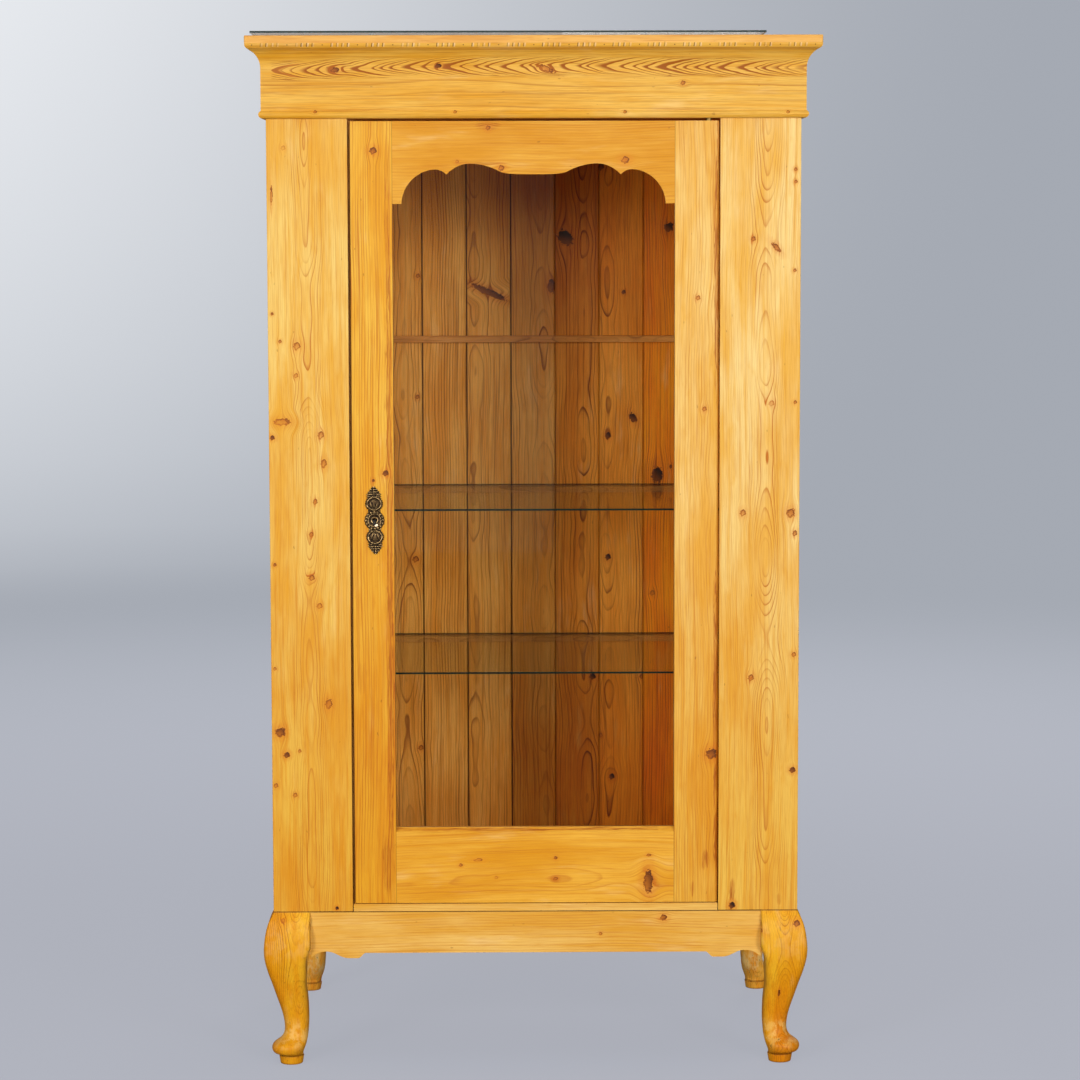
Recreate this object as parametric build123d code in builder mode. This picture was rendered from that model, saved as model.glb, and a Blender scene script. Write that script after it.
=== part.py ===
from build123d import *
from math import cos, radians, sin, sqrt
import os

# Pine display cabinet with one glazed door on four cabriole legs. Millimetres.
# X runs to the right as seen from the front, +Y to the back, +Z up from the floor.
# The origin is on the floor, at the middle of the cabinet's overall width and depth.

# ---------------------------------------------------------------- driving sizes
body_width = 921.0
body_depth = 620.0
cabinet_top = 1800.0
base_top = 277.0             # top of the legs and aprons, underside of the carcass

side_thickness = 17.0
front_thickness = 22.4       # pilasters and top rail
pilaster_width = 139.3
back_thickness = 18.0
floor_thickness = 13.0
ceiling_thickness = 18.0
roof_thickness = 13.0
sill_end_gap = 1.5
sill_round = 1.6
arris = 1.2                  # hand-eased edge of a planed board
seam = 0.2                   # clearance of a tongue or tenon in its groove or mortise

# back boards: the two outermost are ripped narrower than the rest
back_board_count = 11
outer_board_width = 62.8
back_shift = 1.3
board_gap = 0.6
tongue_thickness = 5.0
tongue_length = 7.0
board_bevel = 1.4

# cornice, as distances proud of the carcass and heights above its foot
cornice_height = 127.0
cornice_foot = 4.0           # flat under the lower bead, before it swells out
frieze_proud = 8.0
cornice_bead_proud = 11.8
cornice_bead_height = 13.0
frieze_height = 86.0
cove_proud = 28.0
cove_height = 117.5
cornice_overhang = 33.5
upper_bead_round = 1.6       # how far the notched bead rounds back at its foot
upper_bead_rise = 3.2
roof_corner_round = 2.0
notch_width = 2.8
notch_height = 6.0
notch_depth = 1.5
notch_pitch = 9.3
notches_in_group = 4
notch_group_pitch = 60.1
front_notch_groups = 16
side_notch_groups = 10
notch_dot_radius = 0.9

# legs and aprons
leg_block = 64.5
knee_proud = 17.2
foot_pad_radius = 22.2       # at its top; it tapers towards the floor
foot_pad_floor_radius = 19.6
foot_pad_height = 15.0
foot_pad_round = 1.5
foot_pad_shift = 4.6         # middle of the pad outside the middle of the leg block
leg_allowance = 1.0          # sawn proud on the block's inner faces, then planed off
apron_depth = 74.4
apron_thickness = 22.0
apron_tenon = 18.0
apron_tenon_thickness = 9.0
apron_drop = 9.3             # how far the carved drops hang below the straight edge
apron_spandrel = 10.4        # how far the apron widens where it meets a leg
apron_lift = 2.8             # how far it then lifts above the straight edge
lift_from_leg = 27.0         # these four run from the leg towards the middle
drop_from_leg = 68.0
drop_end = 84.0
straight_from_leg = 97.0

# door
door_thickness = 22.0
door_edge_round = 1.5
door_top_gap = 4.5
door_bottom_gap = 1.6
door_lock_gap = 4.2
door_pivot_gap = 1.5
lock_stile_width = 73.0
pivot_stile_width = 77.0
top_rail_corner = 141.5      # height of the top rail where it meets the stiles
top_rail_centre = 91.3       # and at the lowest point of its middle
bottom_rail_height = 133.0
rail_chamfer_height = 8.0
rail_chamfer_depth = 9.0
top_rail_step = 15.5         # flat at each end, before the lobe
lobe_shoulder_width = 19.0
lobe_shoulder_rise = 42.0
lobe_width = 53.5
lobe_rise = 58.6
cusp_from_stile = 93.0
cusp_rise = 50.1
arch_from_stile = 133.5      # crown of the long curve between cusp and centre
arch_rise = 68.8
arch_fall_from_stile = 175.5
arch_fall_rise = 59.9
wood_above_pane = 62.0       # of the top rail, over the rebate for the pane
tenon_thickness = 7.0
tenon_length = 45.0
tenon_shoulder = 16.0
bottom_tenon_shoulder = 8.0  # under the rebate
rebate_width = 9.0
rebate_depth = 11.5
glass_thickness = 4.0
glazing_clearance = 0.5
bead_width = 8.8

# pivots
pivot_inset = 18.2
pivot_radius = 3.0
pivot_clearance = 0.06
pivot_bore_clearance = 0.5   # round and past the pin, in the wood behind the socket plate
pivot_depth = 22.0
pivot_reach = 10.0
pivot_plate_length = 36.0
pin_plate_length = 28.0
pivot_plate_width = 14.0
pivot_plate_thickness = 2.5
pivot_collar_radius = 5.0
collar_clearance = 0.1

# lock
keyhole_from_edge = 38.6
keyhole_height = 967.0
keyhole_radius = 3.6
keyhole_slot_width = 5.0
keyhole_slot_length = 11.0
keyhole_clearance = 0.4      # of the hole in the stile round the one in the lock
lock_width = 58.0
lock_height = 84.0
lock_depth = 12.0
lock_wall = 1.5
lock_cover_thickness = 1.5
bolt_height = 20.0
bolt_thickness = 6.0
bolt_length = 42.0
bolt_throw = 10.0
bolt_clearance = 0.35
bolt_above_keyhole = 12.0
bolt_nose = 0.8
talon_width = 12.0           # notch in the bolt that the key's bit turns in
talon_height = 4.0
mortise_spare = 2.0          # depth past the end of the thrown bolt
keeper_length = 60.0
keeper_thickness = 1.5
keeper_width = 12.0
keeper_play = 1.0
screw_radius = 1.6
screw_length = 9.0
keeper_screw_inset = 7.0
lock_screw_inset = 5.0

# escutcheon
escutcheon_height = 118.0
escutcheon_thickness = 2.2
escutcheon_boss_radius = 17.3
escutcheon_ring_width = 3.5
escutcheon_ring_inset = 1.5
escutcheon_ring_height = 1.6
escutcheon_fan_radius = 13.6 # the oval fan above and below the boss
escutcheon_fan_place = 25.0
escutcheon_crest_radius = 10.6
escutcheon_crest_length = 12.5
escutcheon_crest_place = 42.0
escutcheon_tip_radius = 5.5
escutcheon_tip_length = 9.0
escutcheon_neck_width = 22.0
escutcheon_lean = 1.5
escutcheon_pin_head = 1.5

# shelves
shelf_tops = (695.0, 983.0)
batten_only_level = 1266.4   # top of the uppermost battens, which carry no glass
batten_height = 12.6
batten_depth = 12.0
shelf_glass = 4.0
shelf_side_clearance = 1.0
shelf_back_clearance = 2.0
shelf_setback = 41.6         # front edge of a shelf behind the front of the carcass
batten_setback = 4.0         # front end of a side batten behind the shelf's edge
glass_arris = 0.8
pane_arris = 0.4

# loose sheet of glass on top
sheet_offset = -43.5
sheet_setback = 10.0
pad_radius = 5.0
pad_height = 5.0
pad_spread = 470.0
pad_inset = 60.0
pad_round = 1.0

# door stop
stop_width = 26.0
stop_thickness = 12.0
stop_lap = 10.0

# ---------------------------------------------------------------- worked-out places
half_width = body_width / 2
front = -(body_depth + knee_proud - cornice_overhang) / 2
back = front + body_depth
inner_half = half_width - side_thickness
back_face = back - back_thickness
front_back = front + front_thickness
apron_low = base_top - apron_depth
leg_inner = half_width - leg_block
leg_middle = half_width - leg_block / 2
side_apron_half = body_depth / 2 - leg_block
opening_half = half_width - pilaster_width
roof_low = cabinet_top - roof_thickness
body_top = roof_low - cornice_height
floor_top = base_top + floor_thickness

door_left = -opening_half + door_lock_gap
door_right = opening_half - door_pivot_gap
middle_y = front + body_depth / 2
door_low = floor_top + door_bottom_gap
door_high = body_top - door_top_gap
glazed_left = door_left + lock_stile_width
glazed_right = door_right - pivot_stile_width
glazed_centre = (glazed_left + glazed_right) / 2
glazed_half = (glazed_right - glazed_left) / 2
bottom_rail_top = door_low + bottom_rail_height
top_rail_low = door_high - top_rail_corner
door_middle = front + door_thickness / 2
pivot_x = door_right - pivot_inset
keyhole_x = door_left + keyhole_from_edge

lock_front = front + door_thickness - lock_depth
lock_back = front + door_thickness - lock_cover_thickness
lock_middle_x = door_left + lock_width / 2
bolt_middle = keyhole_height + bolt_above_keyhole
bolt_y = (lock_front + lock_wall + lock_back) / 2
lock_screw_pitch = lock_width - 2 * lock_screw_inset

glass_front = front + door_thickness - rebate_depth
glass_back = glass_front + glass_thickness
door_back = front + door_thickness
shelf_depth = body_depth - back_thickness - shelf_setback - shelf_back_clearance
shelf_width = 2 * (inner_half - shelf_side_clearance)
batten_front = front + shelf_setback + batten_setback

os.makedirs("parts", exist_ok=True)


# ---------------------------------------------------------------- helpers
def save(piece, name):
    """Label a finished piece and write it as its own file."""
    piece.part.label = name
    export_step(piece.part, f"parts/{name}.step")


def board(x_low, x_high, y_low, y_high, z_low, z_high, ease=arris):
    """A planed board between two corners, with its edges eased."""
    with BuildPart(Plane.XY.offset(z_low)) as piece:
        with Locations(((x_low + x_high) / 2, (y_low + y_high) / 2)):
            Box(
                x_high - x_low,
                y_high - y_low,
                z_high - z_low,
                align=(Align.CENTER, Align.CENTER, Align.MIN),
            )
        if ease:
            chamfer(piece.edges(), ease / 2)
    return piece


# ---------------------------------------------------------------- legs
# Each row: height as a share of the leg's, how far the leg stands proud of the carcass,
# inner face outside the face of the block, and how round the section is (0 to 1).
leg_profile = (
    (1.000, 0.0, -leg_allowance, 0.06),
    (0.946, 7.2, -leg_allowance, 0.10),
    (0.866, 14.0, -leg_allowance, 0.14),
    (0.776, knee_proud, -leg_allowance, 0.20),
    (0.704, 16.7, 6.4, 0.26),
    (0.639, 13.2, 8.9, 0.32),
    (0.542, 5.3, 9.8, 0.42),
    (0.451, -2.2, 8.2, 0.50),
    (0.361, -9.7, 6.4, 0.58),
    (0.296, -13.9, 6.0, 0.66),
    (0.245, -15.6, 6.3, 0.76),
    (0.209, -15.2, 7.0, 0.88),
    (0.181, -12.8, 7.6, 0.95),
    (0.155, -5.8, 8.8, 0.98),
    (0.130, 4.2, 10.4, 0.98),
    (0.105, 6.4, 12.8, 0.98),
    (0.079, 3.8, 15.4, 0.98),
)
foot_roundness = 0.98
foot_groove = 2.0            # how far the leg draws in where it meets the pad


def apron_mortise(side_x, side_y, along_x):
    """Centre and size of the mortise that an apron's tenon enters in a leg."""
    deep = apron_tenon + seam
    thick = apron_tenon_thickness + 2 * seam
    middle = half_width - apron_thickness / 2
    depth_middle = body_depth / 2 - apron_thickness / 2
    if along_x:
        centre = (side_x * (leg_inner + deep / 2), side_y * depth_middle)
        return centre, (deep, thick)
    centre = (side_x * middle, side_y * (body_depth / 2 - leg_block + deep / 2))
    return centre, (thick, deep)


def foot_pad(x, y):
    """The round pad under a foot."""
    with BuildPart(Plane.XY) as pad:
        with Locations((x, y)):
            Cone(
                foot_pad_floor_radius,
                foot_pad_radius,
                foot_pad_height,
                align=(Align.CENTER, Align.CENTER, Align.MIN),
            )
        fillet(pad.edges(), foot_pad_round)
    return pad.part


def cabriole_leg(side_x, side_y):
    """A cabriole leg whose knee swells out at one corner, on a round pad foot."""
    to_middle = body_depth / 2 - half_width
    pad_place = leg_middle + foot_pad_shift
    pad_x = side_x * pad_place
    pad_y = middle_y + side_y * (pad_place + to_middle)
    with BuildPart() as leg:
        for share, proud, inner, roundness in leg_profile:
            width = leg_block + proud - inner
            place = leg_middle + (proud + inner) / 2
            with BuildSketch(Plane.XY.offset(share * base_top)):
                with Locations((side_x * place, middle_y + side_y * (place + to_middle))):
                    RectangleRounded(width, width, roundness * width / 2)
        with BuildSketch(Plane.XY.offset(foot_pad_height)):
            with Locations((pad_x, pad_y)):
                width = 2 * (foot_pad_radius - foot_groove)
                RectangleRounded(width, width, foot_roundness * width / 2)
        loft()
        # the two inner faces of the block are planed flat, where the aprons butt on them
        with BuildSketch(Plane.XY):
            with Locations(
                (
                    side_x * (leg_inner + leg_block),
                    middle_y + side_y * (side_apron_half + leg_block),
                )
            ):
                Rectangle(2 * leg_block, 2 * leg_block)
        extrude(amount=base_top, mode=Mode.INTERSECT)
        for along_x in (True, False):
            (x, y), (dx, dy) = apron_mortise(side_x, side_y, along_x)
            with BuildSketch(Plane.XY.offset(base_top)):
                with Locations((x, middle_y + y)):
                    Rectangle(dx, dy)
            extrude(amount=-(apron_depth - tenon_shoulder + seam), mode=Mode.SUBTRACT)
        add(foot_pad(pad_x, pad_y))
    return leg


for side_y, depth_name in ((-1, "front"), (1, "back")):
    for side_x, side_name in ((-1, "left"), (1, "right")):
        save(cabriole_leg(side_x, side_y), f"{depth_name}_{side_name}_leg")


# ---------------------------------------------------------------- aprons
def shaped_apron(half_length, plane):
    """An apron with its tenons; its lower edge lifts beside each leg, then drops."""
    spandrel = (half_length, apron_low - apron_spandrel)
    lift = (half_length - lift_from_leg, apron_low + apron_lift)
    drop_start = (half_length - drop_from_leg, apron_low - apron_drop)
    drop_stop = (half_length - drop_end, apron_low - apron_drop)
    straight = (half_length - straight_from_leg, apron_low)
    with BuildPart() as apron:
        with BuildSketch(plane):
            with BuildLine():
                Polyline((0, base_top), (half_length, base_top), spandrel)
                Spline(
                    spandrel,
                    (half_length - lift_from_leg / 2, apron_low),
                    lift,
                    tangents=((-0.6, 1), (-1, 0)),
                )
                Spline(lift, drop_start, tangents=((-1, 0), (-1, 0)))
                Line(drop_start, drop_stop)
                Spline(
                    drop_stop,
                    ((drop_stop[0] + straight[0]) / 2, apron_low - apron_drop / 2),
                    straight,
                    tangents=((-1, 0.3), (-1, 0.2)),
                )
                Polyline(straight, (0, apron_low), (0, base_top))
            make_face()
            mirror(about=Plane.YZ)
        extrude(amount=-apron_thickness)
        chamfer(apron.edges().filter_by(Axis.Z, reverse=True).sort_by(Axis.Z)[-2:], arris / 2)
        tenon_middle = base_top - (apron_depth - tenon_shoulder) / 2
        with BuildSketch(plane.offset(-(apron_thickness - apron_tenon_thickness) / 2)):
            with Locations((0, tenon_middle)):
                Rectangle(2 * (half_length + apron_tenon), apron_depth - tenon_shoulder)
        extrude(amount=-apron_tenon_thickness)
    return apron


front_plane = Plane(origin=(0, front, 0), x_dir=(1, 0, 0), z_dir=(0, -1, 0))
back_plane = Plane(origin=(0, back, 0), x_dir=(-1, 0, 0), z_dir=(0, 1, 0))
left_plane = Plane(origin=(-half_width, middle_y, 0), x_dir=(0, -1, 0), z_dir=(-1, 0, 0))
right_plane = Plane(origin=(half_width, middle_y, 0), x_dir=(0, 1, 0), z_dir=(1, 0, 0))

save(shaped_apron(leg_inner, front_plane), "front_apron")
save(shaped_apron(leg_inner, back_plane), "back_apron")
save(shaped_apron(side_apron_half, left_plane), "left_apron")
save(shaped_apron(side_apron_half, right_plane), "right_apron")

# ---------------------------------------------------------------- carcass
for side, side_name in ((-1, "left"), (1, "right")):
    x_pair = sorted((side * inner_half, side * half_width))
    save(board(*x_pair, front_back, back, base_top, roof_low), f"{side_name}_side")

save(board(-inner_half, inner_half, front_back, back_face, base_top, floor_top), "floor_board")
save(
    board(-inner_half, inner_half, front_back, back_face, body_top, body_top + ceiling_thickness),
    "ceiling_board",
)

with BuildPart(Plane.XY.offset(base_top)) as left_pilaster:
    with Locations((-half_width + pilaster_width / 2, front + front_thickness / 2)):
        Box(
            pilaster_width,
            front_thickness,
            body_top - base_top,
            align=(Align.CENTER, Align.CENTER, Align.MIN),
        )
    chamfer(left_pilaster.edges(), arris / 2)
    # pocket for the keeper plate, and behind it the mortise that the bolt enters
    with BuildSketch(Plane.YZ.offset(-opening_half)):
        with Locations((bolt_y, bolt_middle)):
            Rectangle(keeper_width, keeper_length)
    extrude(amount=-keeper_thickness, mode=Mode.SUBTRACT)
    with BuildSketch(Plane.YZ.offset(-opening_half)):
        with Locations((bolt_y, bolt_middle)):
            Rectangle(bolt_thickness + 2 * keeper_play, bolt_height + 2 * keeper_play)
    extrude(amount=-(bolt_throw + mortise_spare), mode=Mode.SUBTRACT)
    with BuildSketch(Plane.YZ.offset(-opening_half - keeper_thickness)):
        with Locations((bolt_y, bolt_middle)):
            with GridLocations(0, keeper_length - 2 * keeper_screw_inset, 1, 2):
                Circle(screw_radius)
    extrude(amount=-(screw_length - keeper_thickness), mode=Mode.SUBTRACT)
save(left_pilaster, "left_pilaster")

save(
    board(opening_half, half_width, front, front_back, base_top, body_top),
    "right_pilaster",
)

with BuildPart(Plane.XY.offset(body_top)) as front_top_rail:
    with Locations((0, front + front_thickness / 2)):
        Box(
            body_width,
            front_thickness,
            roof_low - body_top,
            align=(Align.CENTER, Align.CENTER, Align.MIN),
        )
    chamfer(front_top_rail.edges(), arris / 2)
    # the socket plate of the upper pivot is let in flush, with the bore above it
    with BuildSketch(Plane.XY.offset(body_top)):
        with Locations((pivot_x, door_middle)):
            Rectangle(pivot_plate_length, pivot_plate_width)
    extrude(amount=pivot_plate_thickness, mode=Mode.SUBTRACT)
    with BuildSketch(Plane.XY.offset(body_top)):
        with Locations((pivot_x, door_middle)):
            Circle(pivot_radius + pivot_bore_clearance)
    extrude(amount=pivot_reach + pivot_bore_clearance, mode=Mode.SUBTRACT)
save(front_top_rail, "front_top_rail")

with BuildPart(Plane.XY.offset(base_top)) as sill_strip:
    with Locations((0, front + front_thickness / 2)):
        Box(
            2 * (opening_half - sill_end_gap),
            front_thickness,
            floor_thickness,
            align=(Align.CENTER, Align.CENTER, Align.MIN),
        )
    fillet(sill_strip.edges().filter_by(Axis.Y).group_by(Axis.Z)[-1], sill_round)
    with BuildSketch(Plane.XY.offset(floor_top)):
        with Locations((pivot_x, door_middle)):
            Rectangle(pivot_plate_length, pivot_plate_width)
    extrude(amount=-pivot_plate_thickness, mode=Mode.SUBTRACT)
    with BuildSketch(Plane.XY.offset(floor_top)):
        with Locations((pivot_x, door_middle)):
            Circle(pivot_radius + pivot_bore_clearance)
    extrude(amount=-(pivot_reach + pivot_bore_clearance), mode=Mode.SUBTRACT)
save(sill_strip, "sill_strip")

save(
    board(
        -opening_half - (stop_width - stop_lap),
        -opening_half + stop_lap,
        front_back,
        front_back + stop_thickness,
        floor_top,
        body_top,
    ),
    "door_stop",
)

# ---------------------------------------------------------------- back boards
inner_boards = back_board_count - 2
back_pitch = 2 * (inner_half - outer_board_width) / inner_boards
board_joints = [back_shift + back_pitch * (k - inner_boards / 2) for k in range(inner_boards + 1)]
board_edges = [-inner_half] + board_joints + [inner_half]

for index in range(back_board_count):
    has_groove = index > 0
    has_tongue = index < back_board_count - 1
    low = board_edges[index] + (board_gap / 2 if has_groove else 0)
    high = board_edges[index + 1] - (board_gap / 2 if has_tongue else 0)
    tongue_middle = back_face + back_thickness / 2
    with BuildPart() as back_board:
        with BuildSketch(Plane.XY.offset(base_top)) as section:
            with Locations(((low + high) / 2, tongue_middle)):
                Rectangle(high - low, back_thickness)
            chamfer(section.vertices().group_by(Axis.Y)[0], board_bevel)
            if has_tongue:
                with Locations((high + tongue_length / 2, tongue_middle)):
                    Rectangle(tongue_length, tongue_thickness)
            if has_groove:
                with Locations((low + (tongue_length + seam) / 2, tongue_middle)):
                    Rectangle(
                        tongue_length + seam,
                        tongue_thickness + 2 * seam,
                        mode=Mode.SUBTRACT,
                    )
        extrude(amount=roof_low - base_top)
    save(back_board, f"back_board_{index + 1:02d}")

# ---------------------------------------------------------------- shelf battens
batten_levels = {
    "lower": shelf_tops[0] - shelf_glass,
    "upper": shelf_tops[1] - shelf_glass,
    "top": batten_only_level,
}

for level_name, top in batten_levels.items():
    save(
        board(
            -inner_half,
            inner_half,
            back_face - batten_depth,
            back_face,
            top - batten_height,
            top,
        ),
        f"{level_name}_back_batten",
    )

for side, side_name in ((-1, "left"), (1, "right")):
    with BuildPart() as side_battens:
        for top in batten_levels.values():
            length = back_face - batten_depth - batten_front
            with Locations(
                (
                    side * (inner_half - batten_depth / 2),
                    batten_front + length / 2,
                    top - batten_height / 2,
                )
            ):
                Box(batten_depth, length, batten_height)
        chamfer(side_battens.edges(), arris / 2)
    save(side_battens, f"{side_name}_shelf_battens")

# ---------------------------------------------------------------- cornice
bead_face = cornice_overhang - upper_bead_round / 3     # face of the notched bead at its top
bead_foot = cove_height + upper_bead_rise


def cornice_section(plane):
    """The cornice moulding's section: bead, frieze, cove and notched bead."""
    with BuildSketch(plane, mode=Mode.PRIVATE) as section:
        with BuildLine():
            Line((0, 0), (cornice_foot, 0))
            ThreePointArc(
                (cornice_foot, 0),
                (cornice_bead_proud, cornice_bead_height * 0.6),
                (frieze_proud, cornice_bead_height),
            )
            Line((frieze_proud, cornice_bead_height), (frieze_proud, frieze_height))
            TangentArc(
                (frieze_proud, frieze_height),
                (cove_proud, cove_height),
                tangent=(0, 1),
            )
            ThreePointArc(
                (cove_proud, cove_height),
                (cornice_overhang - upper_bead_round, bead_foot),
                (bead_face, cornice_height),
            )
            Polyline((bead_face, cornice_height), (0, cornice_height), (0, 0))
        make_face()
    return section.sketch


notch_level = body_top + (bead_foot + cornice_height) / 2
notch_surface = cornice_overhang - upper_bead_round / 2


def notch_tools(groups, plane):
    """Short upright notches in groups, with a round prick between the groups."""
    with BuildPart(mode=Mode.PRIVATE) as tools:
        with BuildSketch(plane):
            with GridLocations(notch_group_pitch, 0, groups, 1):
                with GridLocations(notch_pitch, 0, notches_in_group, 1):
                    Rectangle(notch_width, notch_height)
            with GridLocations(notch_group_pitch, 0, groups - 1, 1):
                Circle(notch_dot_radius)
        extrude(amount=-notch_depth)
    return tools.part


up = Vector(0, 0, 1)


def cornice_length(start, end, outward, groups):
    """A length of cornice along one wall; start and end are its mitred outer corners."""
    run = end - start
    along = run.normalized()
    with BuildPart() as moulding:
        section_plane = Plane(origin=start, x_dir=outward, z_dir=outward.cross(up))
        add(Solid.extrude(cornice_section(section_plane).face(), run))
        middle = start + run * 0.5
        face_plane = Plane(
            origin=middle + outward * notch_surface + Vector(0, 0, notch_level - start.Z),
            x_dir=along,
            z_dir=outward,
        )
        add(notch_tools(groups, face_plane), mode=Mode.SUBTRACT)
    return moulding


def mitred(moulding, corner, outward, other_outward):
    """Trim a moulding back to the mitre plane through a vertical corner of the carcass."""
    normal = (outward - other_outward).normalized()
    with BuildPart() as piece:
        add(moulding.part)
        split(bisect_by=Plane(origin=corner, z_dir=normal), keep=Keep.TOP)
    return piece


left_way = Vector(-1, 0, 0)
right_way = Vector(1, 0, 0)
front_way = Vector(0, -1, 0)
front_left = Vector(-half_width, front, body_top)
front_right = Vector(half_width, front, body_top)
rear_left = Vector(-half_width, back, body_top)
rear_right = Vector(half_width, back, body_top)
spare = Vector(cornice_overhang, 0, 0)

cornice_front = cornice_length(front_left - spare, front_right + spare, front_way, front_notch_groups)
cornice_front = mitred(cornice_front, front_left, front_way, left_way)
cornice_front = mitred(cornice_front, front_right, front_way, right_way)
save(cornice_front, "cornice_front")

ahead = front_way * cornice_overhang
cornice_left = cornice_length(front_left + ahead, rear_left, left_way, side_notch_groups)
save(mitred(cornice_left, front_left, left_way, front_way), "cornice_left")
cornice_right = cornice_length(front_right + ahead, rear_right, right_way, side_notch_groups)
save(mitred(cornice_right, front_right, right_way, front_way), "cornice_right")

with BuildPart(Plane.XY.offset(roof_low)) as roof_board:
    roof_front = front - cornice_overhang
    with Locations((0, (roof_front + back) / 2)):
        Box(
            body_width + 2 * cornice_overhang,
            back - roof_front,
            roof_thickness,
            align=(Align.CENTER, Align.CENTER, Align.MIN),
        )
    fillet(roof_board.edges().filter_by(Axis.Z), roof_corner_round)
    fillet(roof_board.faces().sort_by(Axis.Z)[-1].edges(), sill_round)
save(roof_board, "roof_board")


# ---------------------------------------------------------------- door frame
rebate_low = bottom_rail_top - rebate_width
rebate_high = door_high - wood_above_pane
bottom_tenon = (door_low + tenon_shoulder, rebate_low - bottom_tenon_shoulder)
top_tenon = (rebate_high + seam, door_high - tenon_shoulder)

with BuildPart(Plane.XY.offset(door_low)) as door_lock_stile:
    with Locations((door_left + lock_stile_width / 2, door_middle)):
        Box(
            lock_stile_width,
            door_thickness,
            door_high - door_low,
            align=(Align.CENTER, Align.CENTER, Align.MIN),
        )
    outer_edges = door_lock_stile.edges().filter_by(Axis.Z).group_by(Axis.X)[0]
    fillet(outer_edges, door_edge_round)
    with BuildSketch(Plane.XZ.offset(-door_back)):
        with Locations((glazed_left - rebate_width / 2, (rebate_low + rebate_high) / 2)):
            Rectangle(rebate_width, rebate_high - rebate_low)
    extrude(amount=rebate_depth, mode=Mode.SUBTRACT)
    for low, high in (bottom_tenon, top_tenon):
        with BuildSketch(Plane.YZ.offset(glazed_left)):
            with Locations((door_middle, (low + high) / 2)):
                Rectangle(tenon_thickness + 2 * seam, high - low + 2 * seam)
        extrude(amount=-(tenon_length + seam), mode=Mode.SUBTRACT)
    # recess for the lock, let in from the back and open at the door's edge
    with BuildSketch(Plane.XZ.offset(-door_back)):
        with Locations((door_left + lock_width / 2, keyhole_height)):
            Rectangle(lock_width, lock_height)
    extrude(amount=lock_depth, mode=Mode.SUBTRACT)
    # keyhole through to the front
    with BuildSketch(Plane.XZ.offset(-front)):
        with Locations((keyhole_x, keyhole_height)):
            Circle(keyhole_radius + keyhole_clearance)
        with Locations((keyhole_x, keyhole_height - keyhole_slot_length / 2)):
            Rectangle(keyhole_slot_width + 2 * keyhole_clearance, keyhole_slot_length)
    extrude(amount=-door_thickness, mode=Mode.SUBTRACT)
save(door_lock_stile, "door_lock_stile")

with BuildPart() as door_pivot_stile:
    # the outer edge is rounded about the pivot so that it turns clear of the pilaster
    flat = sqrt(pivot_inset**2 - (door_thickness / 2) ** 2)
    with BuildSketch(Plane.XY.offset(door_low)):
        with BuildLine():
            Polyline(
                (pivot_x + flat, front),
                (glazed_right, front),
                (glazed_right, door_back),
                (pivot_x + flat, door_back),
            )
            ThreePointArc(
                (pivot_x + flat, door_back),
                (door_right, door_middle),
                (pivot_x + flat, front),
            )
        make_face()
    extrude(amount=door_high - door_low)
    with BuildSketch(Plane.XZ.offset(-door_back)):
        with Locations((glazed_right + rebate_width / 2, (rebate_low + rebate_high) / 2)):
            Rectangle(rebate_width, rebate_high - rebate_low)
    extrude(amount=rebate_depth, mode=Mode.SUBTRACT)
    for low, high in (bottom_tenon, top_tenon):
        with BuildSketch(Plane.YZ.offset(glazed_right)):
            with Locations((door_middle, (low + high) / 2)):
                Rectangle(tenon_thickness + 2 * seam, high - low + 2 * seam)
        extrude(amount=tenon_length + seam, mode=Mode.SUBTRACT)
    # the pivots' plates are let into both ends, with a bore below each pin
    for end, way in ((door_low, 1), (door_high, -1)):
        with BuildSketch(Plane.XY.offset(end)):
            with Locations((pivot_x, door_middle)):
                Rectangle(pin_plate_length, pivot_plate_width)
        extrude(amount=way * pivot_plate_thickness, mode=Mode.SUBTRACT)
        with BuildSketch(Plane.XY.offset(end)):
            with Locations((pivot_x, door_middle)):
                Circle(pivot_radius)
        extrude(amount=way * pivot_depth, mode=Mode.SUBTRACT)
save(door_pivot_stile, "door_pivot_stile")

with BuildPart() as door_top_rail:
    step = (glazed_half - top_rail_step, top_rail_low)
    lobe_shoulder = (step[0] - lobe_shoulder_width, top_rail_low + lobe_shoulder_rise)
    lobe_crown = (step[0] - lobe_width, top_rail_low + lobe_rise)
    cusp = (glazed_half - cusp_from_stile, top_rail_low + cusp_rise)
    arch_crown = (glazed_half - arch_from_stile, top_rail_low + arch_rise)
    arch_fall = (glazed_half - arch_fall_from_stile, top_rail_low + arch_fall_rise)
    centre = (0, door_high - top_rail_centre)
    with BuildSketch(Plane(origin=(glazed_centre, front, 0), x_dir=(1, 0, 0), z_dir=(0, -1, 0))):
        with BuildLine():
            Polyline(
                centre,
                (0, door_high),
                (glazed_half, door_high),
                (glazed_half, top_rail_low),
                step,
            )
            lobe = ThreePointArc(step, lobe_shoulder, lobe_crown)
            TangentArc(lobe @ 1, cusp, tangent=lobe % 1)
            Spline(cusp, arch_crown, arch_fall, centre, tangents=((-1, 1), (-1, 0)))
        make_face()
        mirror(about=Plane.YZ)
    extrude(amount=-door_thickness)
    with BuildSketch(Plane.XZ.offset(-door_back)):
        with Locations((glazed_centre, (top_rail_low + rebate_high) / 2)):
            Rectangle(2 * glazed_half, rebate_high - top_rail_low)
    extrude(amount=rebate_depth, mode=Mode.SUBTRACT)
    with BuildSketch(Plane.XZ.offset(-(door_middle - tenon_thickness / 2))):
        for side in (-1, 1):
            with Locations(
                (glazed_centre + side * (glazed_half + tenon_length / 2), sum(top_tenon) / 2)
            ):
                Rectangle(tenon_length, top_tenon[1] - top_tenon[0])
    extrude(amount=-tenon_thickness)
save(door_top_rail, "door_top_rail")

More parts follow.
